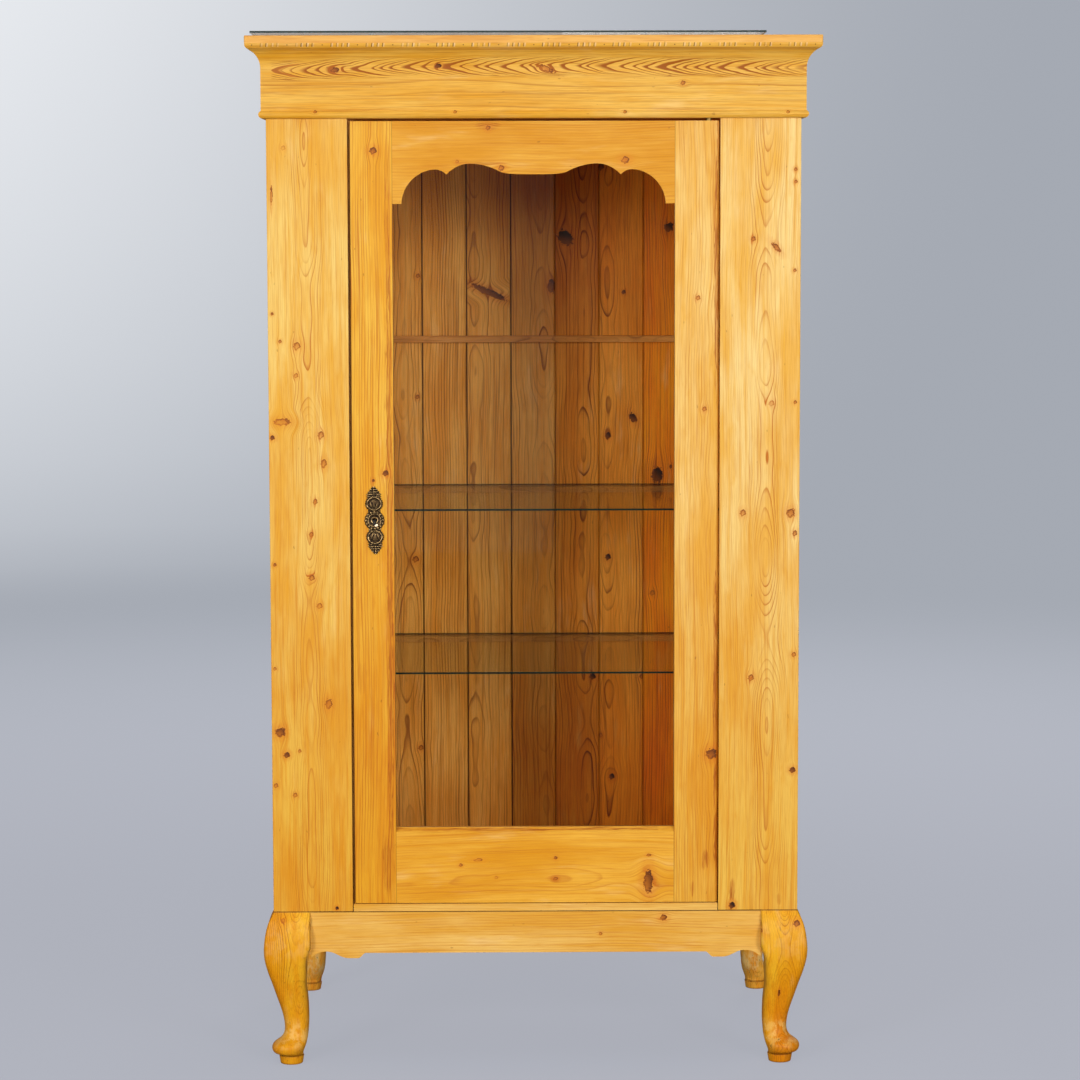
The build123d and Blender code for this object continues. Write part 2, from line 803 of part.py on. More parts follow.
with BuildPart() as door_bottom_rail:
    with BuildSketch(Plane.YZ.offset(glazed_left)):
        with BuildLine():
            Polyline(
                (front, door_low),
                (front, bottom_rail_top - rail_chamfer_height),
                (front + rail_chamfer_depth, bottom_rail_top),
                (glass_front, bottom_rail_top),
                (glass_front, rebate_low),
                (door_back, rebate_low),
                (door_back, door_low),
                close=True,
            )
        make_face()
    extrude(amount=2 * glazed_half)
    with BuildSketch(Plane.XZ.offset(-(door_middle - tenon_thickness / 2))):
        for side in (-1, 1):
            with Locations(
                (glazed_centre + side * (glazed_half + tenon_length / 2), sum(bottom_tenon) / 2)
            ):
                Rectangle(tenon_length, bottom_tenon[1] - bottom_tenon[0])
    extrude(amount=-tenon_thickness)
save(door_bottom_rail, "door_bottom_rail")

# ---------------------------------------------------------------- glazing
pane_half = glazed_half + rebate_width - glazing_clearance
save(
    board(
        glazed_centre - pane_half,
        glazed_centre + pane_half,
        glass_front,
        glass_back,
        rebate_low,
        rebate_high - glazing_clearance,
        ease=pane_arris,
    ),
    "door_glass",
)

bead_outer = glazed_half + rebate_width
with BuildPart() as glazing_side_beads:
    for side in (-1, 1):
        with Locations(
            (
                glazed_centre + side * (bead_outer - bead_width / 2),
                (glass_back + door_back) / 2,
                (rebate_low + rebate_high) / 2,
            )
        ):
            Box(bead_width, door_back - glass_back, rebate_high - rebate_low)
    chamfer(glazing_side_beads.edges(), arris / 2)
save(glazing_side_beads, "glazing_side_beads")

with BuildPart() as glazing_cross_beads:
    for level in (rebate_low + bead_width / 2, rebate_high - bead_width / 2):
        with Locations((glazed_centre, (glass_back + door_back) / 2, level)):
            Box(2 * (bead_outer - bead_width), door_back - glass_back, bead_width)
    chamfer(glazing_cross_beads.edges(), arris / 2)
save(glazing_cross_beads, "glazing_cross_beads")


# ---------------------------------------------------------------- pivots
def pivot_pin(end, way, gap):
    """A pin on a small plate let into the end of the stile, with a collar in the gap."""
    with BuildPart() as pin:
        with BuildSketch(Plane.XY.offset(end)):
            with Locations((pivot_x, door_middle)):
                Rectangle(pin_plate_length, pivot_plate_width)
        extrude(amount=way * pivot_plate_thickness)
        with BuildSketch(Plane.XY.offset(end)):
            with Locations((pivot_x, door_middle)):
                Circle(pivot_collar_radius)
        extrude(amount=-way * gap)
        with BuildSketch(Plane.XY.offset(end + way * pivot_depth)):
            with Locations((pivot_x, door_middle)):
                Circle(pivot_radius)
        extrude(amount=-way * (pivot_depth + gap + pivot_reach))
    return pin


def pivot_socket(face, way):
    """The plate let into the frame that the pin turns in."""
    with BuildPart() as socket:
        with BuildSketch(Plane.XY.offset(face)):
            with Locations((pivot_x, door_middle)):
                Rectangle(pivot_plate_length, pivot_plate_width)
                Circle(pivot_radius + pivot_clearance, mode=Mode.SUBTRACT)
        extrude(amount=way * pivot_plate_thickness)
    return socket


save(pivot_pin(door_high, -1, door_top_gap - collar_clearance), "upper_pivot_pin")
save(pivot_pin(door_low, 1, door_bottom_gap - collar_clearance), "lower_pivot_pin")
save(pivot_socket(body_top, 1), "upper_pivot_socket")
save(pivot_socket(floor_top, -1), "lower_pivot_socket")

# ---------------------------------------------------------------- lock
with BuildPart() as lock_case:
    with Locations((lock_middle_x, (lock_front + lock_back) / 2, keyhole_height)):
        Box(lock_width, lock_back - lock_front, lock_height)
    with Locations((lock_middle_x, (lock_front + lock_wall + lock_back) / 2, keyhole_height)):
        Box(
            lock_width - 2 * lock_wall,
            lock_back - lock_front - lock_wall,
            lock_height - 2 * lock_wall,
            mode=Mode.SUBTRACT,
        )
    # mouth for the bolt in the selvedge
    with Locations((door_left, bolt_y, bolt_middle)):
        Box(
            4 * lock_wall,
            bolt_thickness + 2 * bolt_clearance,
            bolt_height + 2 * bolt_clearance,
            mode=Mode.SUBTRACT,
        )
    # keyhole and the drill pin's place
    with BuildSketch(Plane.XZ.offset(-lock_front)):
        with Locations((keyhole_x, keyhole_height)):
            Circle(keyhole_radius)
        with Locations((keyhole_x, keyhole_height - keyhole_slot_length / 2)):
            Rectangle(keyhole_slot_width, keyhole_slot_length)
    extrude(amount=-lock_wall, mode=Mode.SUBTRACT)
save(lock_case, "lock_case")

with BuildPart() as lock_cover:
    with BuildSketch(Plane.XZ.offset(-lock_back)):
        with Locations((lock_middle_x, keyhole_height)):
            Rectangle(lock_width, lock_height)
            with GridLocations(lock_screw_pitch, lock_height - 2 * lock_screw_inset, 2, 2):
                Circle(screw_radius, mode=Mode.SUBTRACT)
    extrude(amount=-lock_cover_thickness)
save(lock_cover, "lock_cover")

with BuildPart() as lock_screws:
    with BuildSketch(Plane.XZ.offset(-lock_back)):
        with Locations((lock_middle_x, keyhole_height)):
            with GridLocations(lock_screw_pitch, lock_height - 2 * lock_screw_inset, 2, 2):
                Circle(screw_radius)
    extrude(amount=-lock_cover_thickness)
save(lock_screws, "lock_screws")

with BuildPart() as lock_bolt:
    with Locations((door_left + bolt_length / 2, bolt_y, bolt_middle)):
        Box(bolt_length, bolt_thickness, bolt_height)
    chamfer(lock_bolt.edges().group_by(Axis.X)[0], bolt_nose)
    # notch that the key's bit turns in
    with Locations((keyhole_x, bolt_y, bolt_middle - bolt_height / 2)):
        Box(talon_width, bolt_thickness, 2 * talon_height, mode=Mode.SUBTRACT)
save(lock_bolt, "lock_bolt")

with BuildPart() as keeper_plate:
    with BuildSketch(Plane.YZ.offset(-opening_half)):
        with Locations((bolt_y, bolt_middle)):
            Rectangle(keeper_width, keeper_length)
            Rectangle(bolt_thickness + 2 * keeper_play, bolt_height + 2 * keeper_play, mode=Mode.SUBTRACT)
            with GridLocations(0, keeper_length - 2 * keeper_screw_inset, 1, 2):
                Circle(screw_radius, mode=Mode.SUBTRACT)
    extrude(amount=-keeper_thickness)
save(keeper_plate, "keeper_plate")

with BuildPart() as keeper_screws:
    with BuildSketch(Plane.YZ.offset(-opening_half)):
        with Locations((bolt_y, bolt_middle)):
            with GridLocations(0, keeper_length - 2 * keeper_screw_inset, 1, 2):
                Circle(screw_radius)
    extrude(amount=-screw_length)
save(keeper_screws, "keeper_screws")

# ---------------------------------------------------------------- escutcheon
escutcheon_tip_place = escutcheon_height / 2 - escutcheon_tip_length
ring_radius = escutcheon_boss_radius - escutcheon_ring_inset

with BuildPart() as escutcheon:
    with BuildSketch(Plane.XZ.offset(-front)):
        with Locations(Location((keyhole_x, keyhole_height), escutcheon_lean)):
            Circle(escutcheon_boss_radius)
            for side in (-1, 1):
                with Locations((0, side * escutcheon_fan_place / 2)):
                    Rectangle(escutcheon_neck_width, escutcheon_fan_place / 2)
                with Locations((0, side * escutcheon_fan_place)):
                    Circle(escutcheon_fan_radius)
                with Locations((0, side * escutcheon_crest_place)):
                    Ellipse(escutcheon_crest_radius, escutcheon_crest_length)
                with Locations((0, side * escutcheon_tip_place)):
                    Ellipse(escutcheon_tip_radius, escutcheon_tip_length)
    extrude(amount=escutcheon_thickness)
    with BuildSketch(Plane.XZ.offset(-front + escutcheon_thickness)):
        with Locations((keyhole_x, keyhole_height)):
            Circle(ring_radius)
            Circle(ring_radius - escutcheon_ring_width, mode=Mode.SUBTRACT)
    extrude(amount=escutcheon_ring_height)
    with BuildSketch(Plane.XZ.offset(-front)):
        with Locations((keyhole_x, keyhole_height)):
            Circle(keyhole_radius)
        with Locations((keyhole_x, keyhole_height - keyhole_slot_length / 2)):
            Rectangle(keyhole_slot_width, keyhole_slot_length)
    extrude(amount=escutcheon_thickness, mode=Mode.SUBTRACT)
save(escutcheon, "escutcheon")

with BuildPart() as escutcheon_pins:
    for side in (-1, 1):
        lean = radians(escutcheon_lean)
        reach = side * escutcheon_tip_place
        spot = (keyhole_x - reach * sin(lean), keyhole_height + reach * cos(lean))
        with BuildSketch(Plane.XZ.offset(-front + escutcheon_thickness)):
            with Locations(spot):
                Circle(escutcheon_pin_head)
        extrude(amount=escutcheon_pin_head / 2)
save(escutcheon_pins, "escutcheon_pins")

# ---------------------------------------------------------------- shelves and loose sheet
for shelf_name, top in (("lower", shelf_tops[0]), ("upper", shelf_tops[1])):
    save(
        board(
            -shelf_width / 2,
            shelf_width / 2,
            front + shelf_setback,
            front + shelf_setback + shelf_depth,
            top - shelf_glass,
            top,
            ease=glass_arris,
        ),
        f"{shelf_name}_glass_shelf",
    )

sheet_low = cabinet_top + pad_height
sheet_front = front - sheet_setback
save(
    board(
        sheet_offset - shelf_width / 2,
        sheet_offset + shelf_width / 2,
        sheet_front,
        sheet_front + shelf_depth,
        sheet_low,
        sheet_low + shelf_glass,
        ease=glass_arris,
    ),
    "top_glass_sheet",
)

with BuildPart() as glass_pads:
    with BuildSketch(Plane.XY.offset(cabinet_top)):
        with Locations((sheet_offset, sheet_front + shelf_depth / 2)):
            with GridLocations(pad_spread, shelf_depth - 2 * pad_inset, 2, 2):
                Circle(pad_radius)
    extrude(amount=pad_height)
    fillet(glass_pads.edges().group_by(Axis.Z)[-1], pad_round)
save(glass_pads, "glass_pads")
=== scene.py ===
from functools import partialmethod
import math
from types import SimpleNamespace

import bmesh
import bpy
from mathutils import Matrix, Vector


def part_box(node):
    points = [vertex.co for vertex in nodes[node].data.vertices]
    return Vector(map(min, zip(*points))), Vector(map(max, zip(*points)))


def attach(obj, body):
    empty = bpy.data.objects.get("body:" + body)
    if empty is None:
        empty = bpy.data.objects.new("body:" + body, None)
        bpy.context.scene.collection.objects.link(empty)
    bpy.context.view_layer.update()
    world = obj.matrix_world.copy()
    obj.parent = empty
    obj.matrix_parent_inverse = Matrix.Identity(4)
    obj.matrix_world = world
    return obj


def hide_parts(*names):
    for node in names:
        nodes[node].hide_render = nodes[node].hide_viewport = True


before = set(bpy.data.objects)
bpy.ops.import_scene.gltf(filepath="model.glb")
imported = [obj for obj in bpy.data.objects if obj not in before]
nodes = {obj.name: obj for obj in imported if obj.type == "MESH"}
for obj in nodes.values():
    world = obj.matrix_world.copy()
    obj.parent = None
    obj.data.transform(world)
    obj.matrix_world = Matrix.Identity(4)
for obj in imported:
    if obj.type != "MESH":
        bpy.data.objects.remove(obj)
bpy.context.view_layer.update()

# The looks of a waxed pine display cabinet with one glazed door. Metres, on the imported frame.
# x runs to the right as seen from the front, y to the back, z up from the floor.

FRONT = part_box("left_pilaster")[0][1]      # face of the pilasters and the door
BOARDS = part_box("back_board_05")[0][1]     # front of the back boards


# ---- node writing
def shade(red, green, blue):
    """A colour given as it looks on a screen, 0 to 255, turned into the linear colour that nodes use."""
    linear = []
    for part in (red, green, blue):
        part /= 255
        linear.append(part / 12.92 if part <= 0.04045 else ((part + 0.055) / 1.055) ** 2.4)
    return (*linear, 1)


def by_name(sockets):
    """Sockets by their names, in small letters and with _ for a space. The first of a name counts."""
    return SimpleNamespace(**{socket.name.lower().replace(" ", "_"): socket for socket in reversed(sockets)})


class Tree:
    """Writes one node tree, a step at a time. Most steps return the socket that they make."""

    def __init__(self, tree, material=None):
        self.tree = tree
        self.material = material

    def feed(self, socket, value):
        """Links a socket or gives it a constant. A colour of three numbers is one for shade()."""
        if isinstance(value, bpy.types.NodeSocket):
            self.tree.links.new(value, socket)
        elif value is not None:
            on_screen = socket.type == "RGBA" and len(value) == 3
            socket.default_value = shade(*value) if on_screen else value

    def node(self, kind, **settings):
        """A new node. Most kinds are named without the first word that they share."""
        whole_name = kind.startswith(("NodeGroup", "GeometryNode"))
        made = self.tree.nodes.new(kind if whole_name else "ShaderNode" + kind)
        for name, value in settings.items():
            setattr(made, name, value)
        return made

    def fill(self, made, *values):
        """Feeds a node's inputs in their order and gives its first output."""
        for socket, value in zip(made.inputs, values):
            self.feed(socket, value)
        return made.outputs[0]

    def named(self, made, **values):
        """Feeds a node's inputs by their names and gives its outputs by theirs. made is the node, or
        the kind of a new one."""
        if isinstance(made, str):
            made = self.node(made)
        sockets = vars(by_name(made.inputs))
        for name, value in values.items():
            self.feed(sockets[name], value)
        return by_name(made.outputs)

    def call(self, group, **values):
        return self.named(self.node("Group", node_tree=group), **values)

    def close(self, **results):
        """Ends a group with its results."""
        self.named("NodeGroupOutput", **results)
        return self.tree

    def maths(self, operation, *values, clamp=False):
        return self.fill(self.node("Math", operation=operation, use_clamp=clamp), *values)

    times = partialmethod(maths, "MULTIPLY")
    times_plus = partialmethod(maths, "MULTIPLY_ADD")
    plus = partialmethod(maths, "ADD")
    minus = partialmethod(maths, "SUBTRACT")
    over = partialmethod(maths, "DIVIDE")
    larger = partialmethod(maths, "MAXIMUM")
    size = partialmethod(maths, "ABSOLUTE")
    whole = partialmethod(maths, "FLOOR")
    rest = partialmethod(maths, "FRACT")

    def within(self, value, step):
        """How far a value lies from the middle of its own step, where the steps follow one another."""
        return self.times(self.minus(self.rest(self.over(value, step)), 0.5), step)

    def gap(self, first, second):
        return self.size(self.minus(first, second))

    def vector(self, operation, *values):
        made = self.node("VectorMath", operation=operation)
        self.fill(made, *values)
        return made.outputs[1 if operation in ("LENGTH", "DISTANCE", "DOT_PRODUCT") else 0]

    def remap(self, value, low, high, out_low=0, out_high=1, kind="SMOOTHSTEP"):
        made = self.node("MapRange", interpolation_type=kind)
        return self.fill(made, value, low, high, out_low, out_high)

    ramp = partialmethod(remap, kind="LINEAR")

    def fall(self, value, low, high):
        return self.remap(value, low, high, 1, 0)

    def band(self, value, middle, inner, outer, top=1):
        """top within inner of the middle, fading to nothing at outer from it."""
        return self.remap(self.gap(value, middle), inner, outer, top, 0)

    def mix(self, share, first, second, blend="MIX"):
        made = self.node("Mix", data_type="RGBA", blend_type=blend)
        for index, value in ((0, share), (6, first), (7, second)):
            self.feed(made.inputs[index], value)
        return made.outputs[2]

    def blend(self, share, first, second):
        """Mixes two shaders."""
        return self.fill(self.node("MixShader"), share, first, second)

    def noise(self, place, scale=1, detail=2, roughness=0.5):
        return self.named("TexNoise", vector=place, scale=scale, detail=detail,
                          roughness=roughness).fac

    def stretched(self, place, stretch, *how):
        """Noise with its own scale along each of the three directions."""
        return self.noise(self.vector("MULTIPLY", place, stretch), 1, *how)

    def line_noise(self, place, scale, detail):
        """Noise along a single line."""
        return self.named(self.node("TexNoise", noise_dimensions="1D"), w=place, scale=scale,
                          detail=detail).fac

    def split(self, vector):
        made = self.node("SeparateXYZ")
        self.fill(made, vector)
        return list(made.outputs)

    def join(self, x, y, z):
        return self.fill(self.node("CombineXYZ"), x, y, z)

    def place(self):
        """Where a spot lies on the part, in metres."""
        return self.named("TexCoord").object


def new_group(name, inputs, outputs):
    """An empty shader group. inputs gives each socket's usual value, and outputs each one's kind."""
    tree = bpy.data.node_groups.new(name, "ShaderNodeTree")
    for label, usual in inputs.items():
        kind = {3: "Vector", 4: "Color"}[len(usual)] if isinstance(usual, tuple) else "Float"
        socket = tree.interface.new_socket(label, in_out="INPUT", socket_type="NodeSocket" + kind)
        socket.default_value = usual
    for label, kind in outputs.items():
        tree.interface.new_socket(label, in_out="OUTPUT", socket_type="NodeSocket" + kind)
    s = Tree(tree)
    return s, s.named("NodeGroupInput")


# ---- pine
BLEACHED, WORN_AND_HIGHLIGHT_WOOD = (250, 214, 146), (250, 214, 150)
BARK_STAIN, KNOT_GLOW = (158, 82, 16), (214, 120, 26)
# The second tone on the next line darkens for dirt and for painted shade alike.
BROWN_SPECK, DIRT_AND_SHADE_TONE = (132, 74, 22), (58, 32, 12)
# A knot's rim, wood and heart: where each begins, where it's full, how strong it is, and its colour.
KNOT_TONES = ((0, 0.28, 0.85, (190, 104, 20)), (0.15, 0.55, 0.92, (112, 56, 14)),
              (0.5, 0.95, 0.95, (36, 20, 10)))


def make_knot_group():
    """One knot: the grain parts round it, and its wood is darker. Place is along, across, depth."""
    reach_along, reach_across = 5, 3.2     # how far the grain gives way, in the knot's own half sizes
    s, given = new_group(
        "pine_knot",
        dict(place=(0, 0, 0), knot_place=(0, 0, 0), half_length=0.006, half_width=0.006, turn=0,
             strength=1, dark=0, halo=0),
        dict(place="Vector", dark="Float", halo="Float"))
    along, across = s.split(s.vector("SUBTRACT", given.place, given.knot_place))[:2]
    flat = s.join(along, across, 0)
    turned = s.node("VectorRotate", rotation_type="Z_AXIS")
    turned = s.named(turned, vector=flat, angle=given.turn).vector
    ragged = s.stretched(flat, (190, 190, 190), 2, 0.6)
    size = s.join(given.half_length, given.half_width, 1)
    spot = s.vector("DIVIDE", turned, size)
    radius = s.plus(s.vector("LENGTH", spot), s.times_plus(ragged, 1.7, -0.85))
    lean = s.remap(s.vector("DOT_PRODUCT", spot, (0.7, 0.5, 0)), -0.9, 0.9, 0.55, 1)
    spread = s.join(s.times(given.half_length, reach_along), s.times(given.half_width, reach_across),
                    1)
    far = s.vector("LENGTH", s.vector("DIVIDE", flat, spread))
    pull = s.remap(far, 0, 1, 0.92, 0)
    bent = s.join(0, s.times(across, pull), 0)
    filled = s.remap(given.strength, 0.6, 0.95, 0.46, 1)
    rim = s.times(s.remap(s.gap(radius, 0.82), 0, 0.36, 1, filled), lean)
    body = s.times(s.fall(radius, 0.85, 1.2), rim)
    dark = s.times(body, given.strength)
    halo = s.times(s.fall(radius, 0.8, 3), given.strength)
    return s.close(place=s.vector("SUBTRACT", given.place, bent), dark=s.larger(dark, given.dark),
                   halo=s.larger(halo, given.halo))


def make_rings_group():
    """Growth rings of a sawn board, round a heart that runs along it behind its face."""
    s, given = new_group(
        "pine_rings",
        dict(place=(0, 0, 0), heart=0, heart_depth=0.018, sway=0.008, sway_rate=5, wander=0.02,
             ring=0.0045, flank=1, seed=0),
        dict(line="Float", flow="Vector"))
    along, across, depth = s.split(given.place)
    run = s.plus(along, given.seed)
    drift = s.minus(s.line_noise(run, 1.7, 1), 0.5)
    side = s.times_plus(drift, given.wander, s.minus(across, given.heart))
    swell = s.minus(s.line_noise(s.times(s.plus(run, 7.3), given.sway_rate), 1, 1.5), 0.5)
    under = s.times_plus(swell, s.times(given.sway, 2), given.heart_depth)
    under = s.plus(under, depth)
    radius = s.vector("LENGTH", s.join(side, under, 0))
    flow = s.join(s.times(run, 3.5), s.times(side, 30), depth)
    ripple = s.minus(s.noise(flow, 1, 2), 0.5)
    radius = s.times_plus(ripple, s.times(given.ring, 1.6), radius)
    phase = s.over(radius, given.ring)
    part = s.rest(phase)
    late = s.ramp(part, 0.7, 0.93, 0, 0.8)
    late = s.plus(late, s.ramp(part, 0.25, 0.93, 0, 0.2))
    edge = s.ramp(part, 0.93, 1, 1, 0)
    ring = s.times_plus(s.whole(phase), 3.17, given.seed)
    each = s.line_noise(ring, 1, 0)
    weight = s.remap(each, 0.36, 0.62, 0.3, 1)
    beside = s.remap(s.size(side), 0.012, 0.04)
    flank = s.minus(1, s.times(beside, s.minus(1, given.flank)))
    line = s.times(s.times(late, edge), s.times(weight, flank))
    return s.close(line=line, flow=s.join(run, side, depth))


def make_pine_group():
    """Puts the colours of waxed pine together from its lines, knots, stains and fine fibres."""
    s, given = new_group(
        "waxed_pine_wood",
        dict(flow=(0, 0, 0), line=0, strength=0.45, dark=0, halo=0, stain=0.75, age=0,
             patch=0, dirt=0, worn=0, grain=0.45, pale=shade(240, 201, 108),
             deep=shade(226, 156, 14), late=shade(190, 106, 22), aged=(0.91, 0.745, 0.3, 1)),
        dict(color="Color", roughness="Float", height="Float"))
    flow = given.flow
    blotch = s.stretched(flow, (3.2, 15, 9), 3, 0.6)
    stained = s.times(s.remap(blotch, 0.36, 0.66), given.stain)
    colour = s.mix(stained, given.pale, given.deep)
    smudge = s.stretched(flow, (13, 42, 30), 3, 0.7)
    smudge = s.times(s.remap(smudge, 0.55, 0.75, 0, 0.5), given.stain)
    colour = s.mix(smudge, colour, given.deep)
    bleached = s.stretched(flow, (7, 30, 30), 3, 0.6)
    colour = s.mix(s.remap(bleached, 0.56, 0.78, 0, 0.32), colour, BLEACHED)
    streak = s.stretched(flow, (4, 130, 90), 3, 0.65)
    colour = s.mix(s.remap(streak, 0.44, 0.7, 0, 0.56), colour, given.deep)
    hair = s.stretched(flow, (2.6, 360, 200), 1, 0.5)
    hair = s.times(s.remap(hair, 0.54, 0.66, 0, 0.62), s.remap(streak, 0.35, 0.6, 0.3, 1))
    colour = s.mix(s.times(hair, given.grain), colour, given.late)
    fade = s.stretched(flow, (5, 26, 12), 1)
    lines = s.times(given.line, s.remap(fade, 0.28, 0.7, 0.3, 1.3))
    near_knot = s.times_plus(given.patch, 2.2, s.times_plus(given.halo, 1.6, 1))
    colour = s.mix(s.times(given.patch, 0.55), colour, given.late)
    bark = s.stretched(flow, (16, 260, 160), 2, 0.6)
    bark = s.times(s.remap(bark, 0.45, 0.6), s.remap(given.patch, 0.35, 0.9, 0, 0.8))
    colour = s.mix(bark, colour, BARK_STAIN)
    lines = s.times(s.times(lines, near_knot), given.strength, clamp=True)
    colour = s.mix(lines, colour, given.late)
    fibre = s.stretched(flow, (22, 700, 500), 2, 0.6)
    colour = s.mix(s.remap(fibre, 0.4, 0.75, 0, 0.3), colour, given.late)
    colour = s.mix(s.times(given.halo, 0.5), colour, KNOT_GLOW)
    speck = s.stretched(flow, (70, 170, 170), 1)
    colour = s.mix(s.remap(speck, 0.75, 0.82, 0, 0.45), colour, BROWN_SPECK)
    # Pale worn wood, which on the legs' toes and knee also paints a highlight.
    colour = s.mix(s.times(given.worn, 0.7), colour, WORN_AND_HIGHLIGHT_WOOD)
    aged = s.mix(given.age, (1, 1, 1, 1), given.aged)
    colour = s.mix(1, colour, aged, "MULTIPLY")
    for low, high, share, tone in KNOT_TONES:
        colour = s.mix(s.remap(given.dark, low, high, 0, share), colour, tone)
    rough = s.ramp(s.plus(fibre, blotch), 0.6, 1.4, 0.4, 0.56)
    height = s.times_plus(fibre, -0.35, s.times(lines, 0.6))
    # Darkened for dirt and for painted shade: the shade of the frieze's notches and of the legs' groove and
    # inner face.
    return s.close(color=s.mix(given.dirt, colour, DIRT_AND_SHADE_TONE), roughness=rough,
                   height=s.times_plus(given.dark, 0.5, height))


def make_patch_group():
    """A soft-edged patch on a board, for stains and for bands of stronger grain."""
    s, given = new_group(
        "stain_patch",
        dict(place=(0, 0, 0), middle=(0, 0, 0), half_size=(1, 1, 1), strength=1, patch=0),
        dict(patch="Float"))
    offset = s.vector("DIVIDE", s.vector("SUBTRACT", given.place, given.middle), given.half_size)
    along, across = s.split(offset)[:2]
    across = s.maths("POWER", s.size(across), 2)
    along = s.maths("POWER", s.size(along), 3)
    ragged = s.stretched(given.place, (22, 240, 0), 3, 0.65)
    reach = s.plus(s.plus(across, along), s.times_plus(ragged, 3.2, -1.5))
    soft = s.times(s.fall(reach, 0.1, 1.1), given.strength)
    return s.close(patch=s.larger(soft, given.patch))


knot_group = make_knot_group()
rings_group = make_rings_group()
pine_group = make_pine_group()
patch_group = make_patch_group()


def new_material(name):
    """The tree of a new material."""
    made = bpy.data.materials.new(name)
    made.use_nodes = True
    made.node_tree.nodes.clear()
    return Tree(made.node_tree, made)


def finish_surface(s, shader):
    """Ends a material with its shader."""
    s.named("OutputMaterial", surface=shader)
    return s.material


def relief(s, height, depth):
    """Fine relief in a surface, depth metres at most."""
    return s.named("Bump", strength=1, distance=depth, height=height).normal


def solid(s, colour, roughness, normal=None, **fixed):
    """The shader of a solid surface. fixed holds constants by their sockets' names."""
    return s.named("BsdfPrincipled", base_color=colour, roughness=roughness, normal=normal,
                   **fixed).bsdf


def glow(s, colour, strength=1):
    """The shader of a surface that is lit from within."""
    return s.named("Emission", color=colour, strength=strength).emission


def board_place(s, axes):
    """Where a spot lies in a board's own order: along its grain, across it, and its depth."""
    place = s.split(s.place())
    return s.join(*[place["xyz".index(axis)] for axis in axes])


def height_darkening(s, age):
    """How far the colour darkens, from the height alone: pairs of heights, none to full."""
    if age is None:
        return 0
    height = s.split(s.place())[2]
    share = 0
    for none, full in zip(age[::2], age[1::2]):
        share = s.larger(share, s.remap(height, none, full))
    return share


def with_patches(s, place, patches):
    """Stains and strong grain, as PATCHES lists them."""
    patch = 0
    for *sizes, strength in patches:
        along, across, half_length, half_width = [size / 1000 for size in sizes]
        patch = s.call(patch_group, place=place, middle=(along, across, 0),
                       half_size=(half_length, half_width, 1), strength=strength, patch=patch).patch
    return patch


def joint_dirt(s, place, joints):
    """Dirt along the long edges of a board: (low edge, high edge, width, strength), across the board."""
    if joints is None:
        return 0
    low, high, width, strength = joints
    across = s.split(place)[1]
    near = s.maths("MINIMUM", s.minus(across, low), s.minus(high, across))
    return s.remap(near, width * 0.4, width, strength, 0)


def with_knots(s, place, knots):
    """Passes the place through each knot, as KNOTS lists them."""
    dark, halo = 0, 0
    for knot in knots:
        along, across, half_length, half_width = [size / 1000 for size in knot[:4]]
        strength, turn = (*knot, 0)[4:6]
        out = s.call(knot_group, place=place, knot_place=(along, across, 0), half_length=half_length,
                     half_width=half_width, strength=strength, turn=turn, dark=dark, halo=halo)
        place, dark, halo = out.place, out.dark, out.halo
    return place, dark, halo


def wax(s, wood, colour=None, coat=0.04):
    """The shader of waxed wood: a soft sheen over the pine."""
    return solid(s, wood.color if colour is None else colour, wood.roughness,
                 relief(s, wood.height, 0.0005), specular_ior_level=0.16, coat_weight=coat,
                 coat_roughness=0.32)


# The looks that belong to the growth rings. The others belong to the wood.
RING_LOOKS = ("heart_depth", "sway", "sway_rate", "wander", "ring", "flank", "seed")


def pine(name, axes, heart, face, knots=(), patches=(), joints=None, age=(1.25, 0.35), coat=0.04,
         **looks):
    """A board's waxed pine. face is where it lies along its third axis, and age gives pairs of heights
    between which it darkens, on the waxed outside towards the floor. looks are inputs of the rings or the
    wood."""
    s = new_material(name)
    place = board_place(s, axes)
    patch = with_patches(s, place, patches)
    dirt = joint_dirt(s, place, joints)
    place, dark, halo = with_knots(s, place, knots)
    place = s.vector("SUBTRACT", place, (0, 0, face))
    sawn = {look: looks.pop(look) for look in RING_LOOKS if look in looks}
    rings = s.call(rings_group, place=place, heart=heart, **sawn)
    wood = s.call(pine_group, flow=rings.flow, line=rings.line, dark=dark, halo=halo, patch=patch,
                  dirt=dirt, age=height_darkening(s, age), **looks)
    return finish_surface(s, wax(s, wood, coat=coat))


FIGURE_HALF = 0.0125        # half the height of the frieze's figure
ARROW_STEP = 0.0225         # from one arrow of the figure to the next
FIRST_TIP = -0.451          # the tip of the first arrow
FRIEZE_FOOT, FRIEZE_TOP = 1.676, 1.771      # heights between which the figure shows
BEAD_MIDDLE = 1.7838        # height of the notched bead
BEAD_FOOT = 1.7775          # height of the step under the bead
NOTCH_GROUP = 0.0601        # from one group of notches to the next
NOTCH_STEP = 0.0093         # from one notch to the next


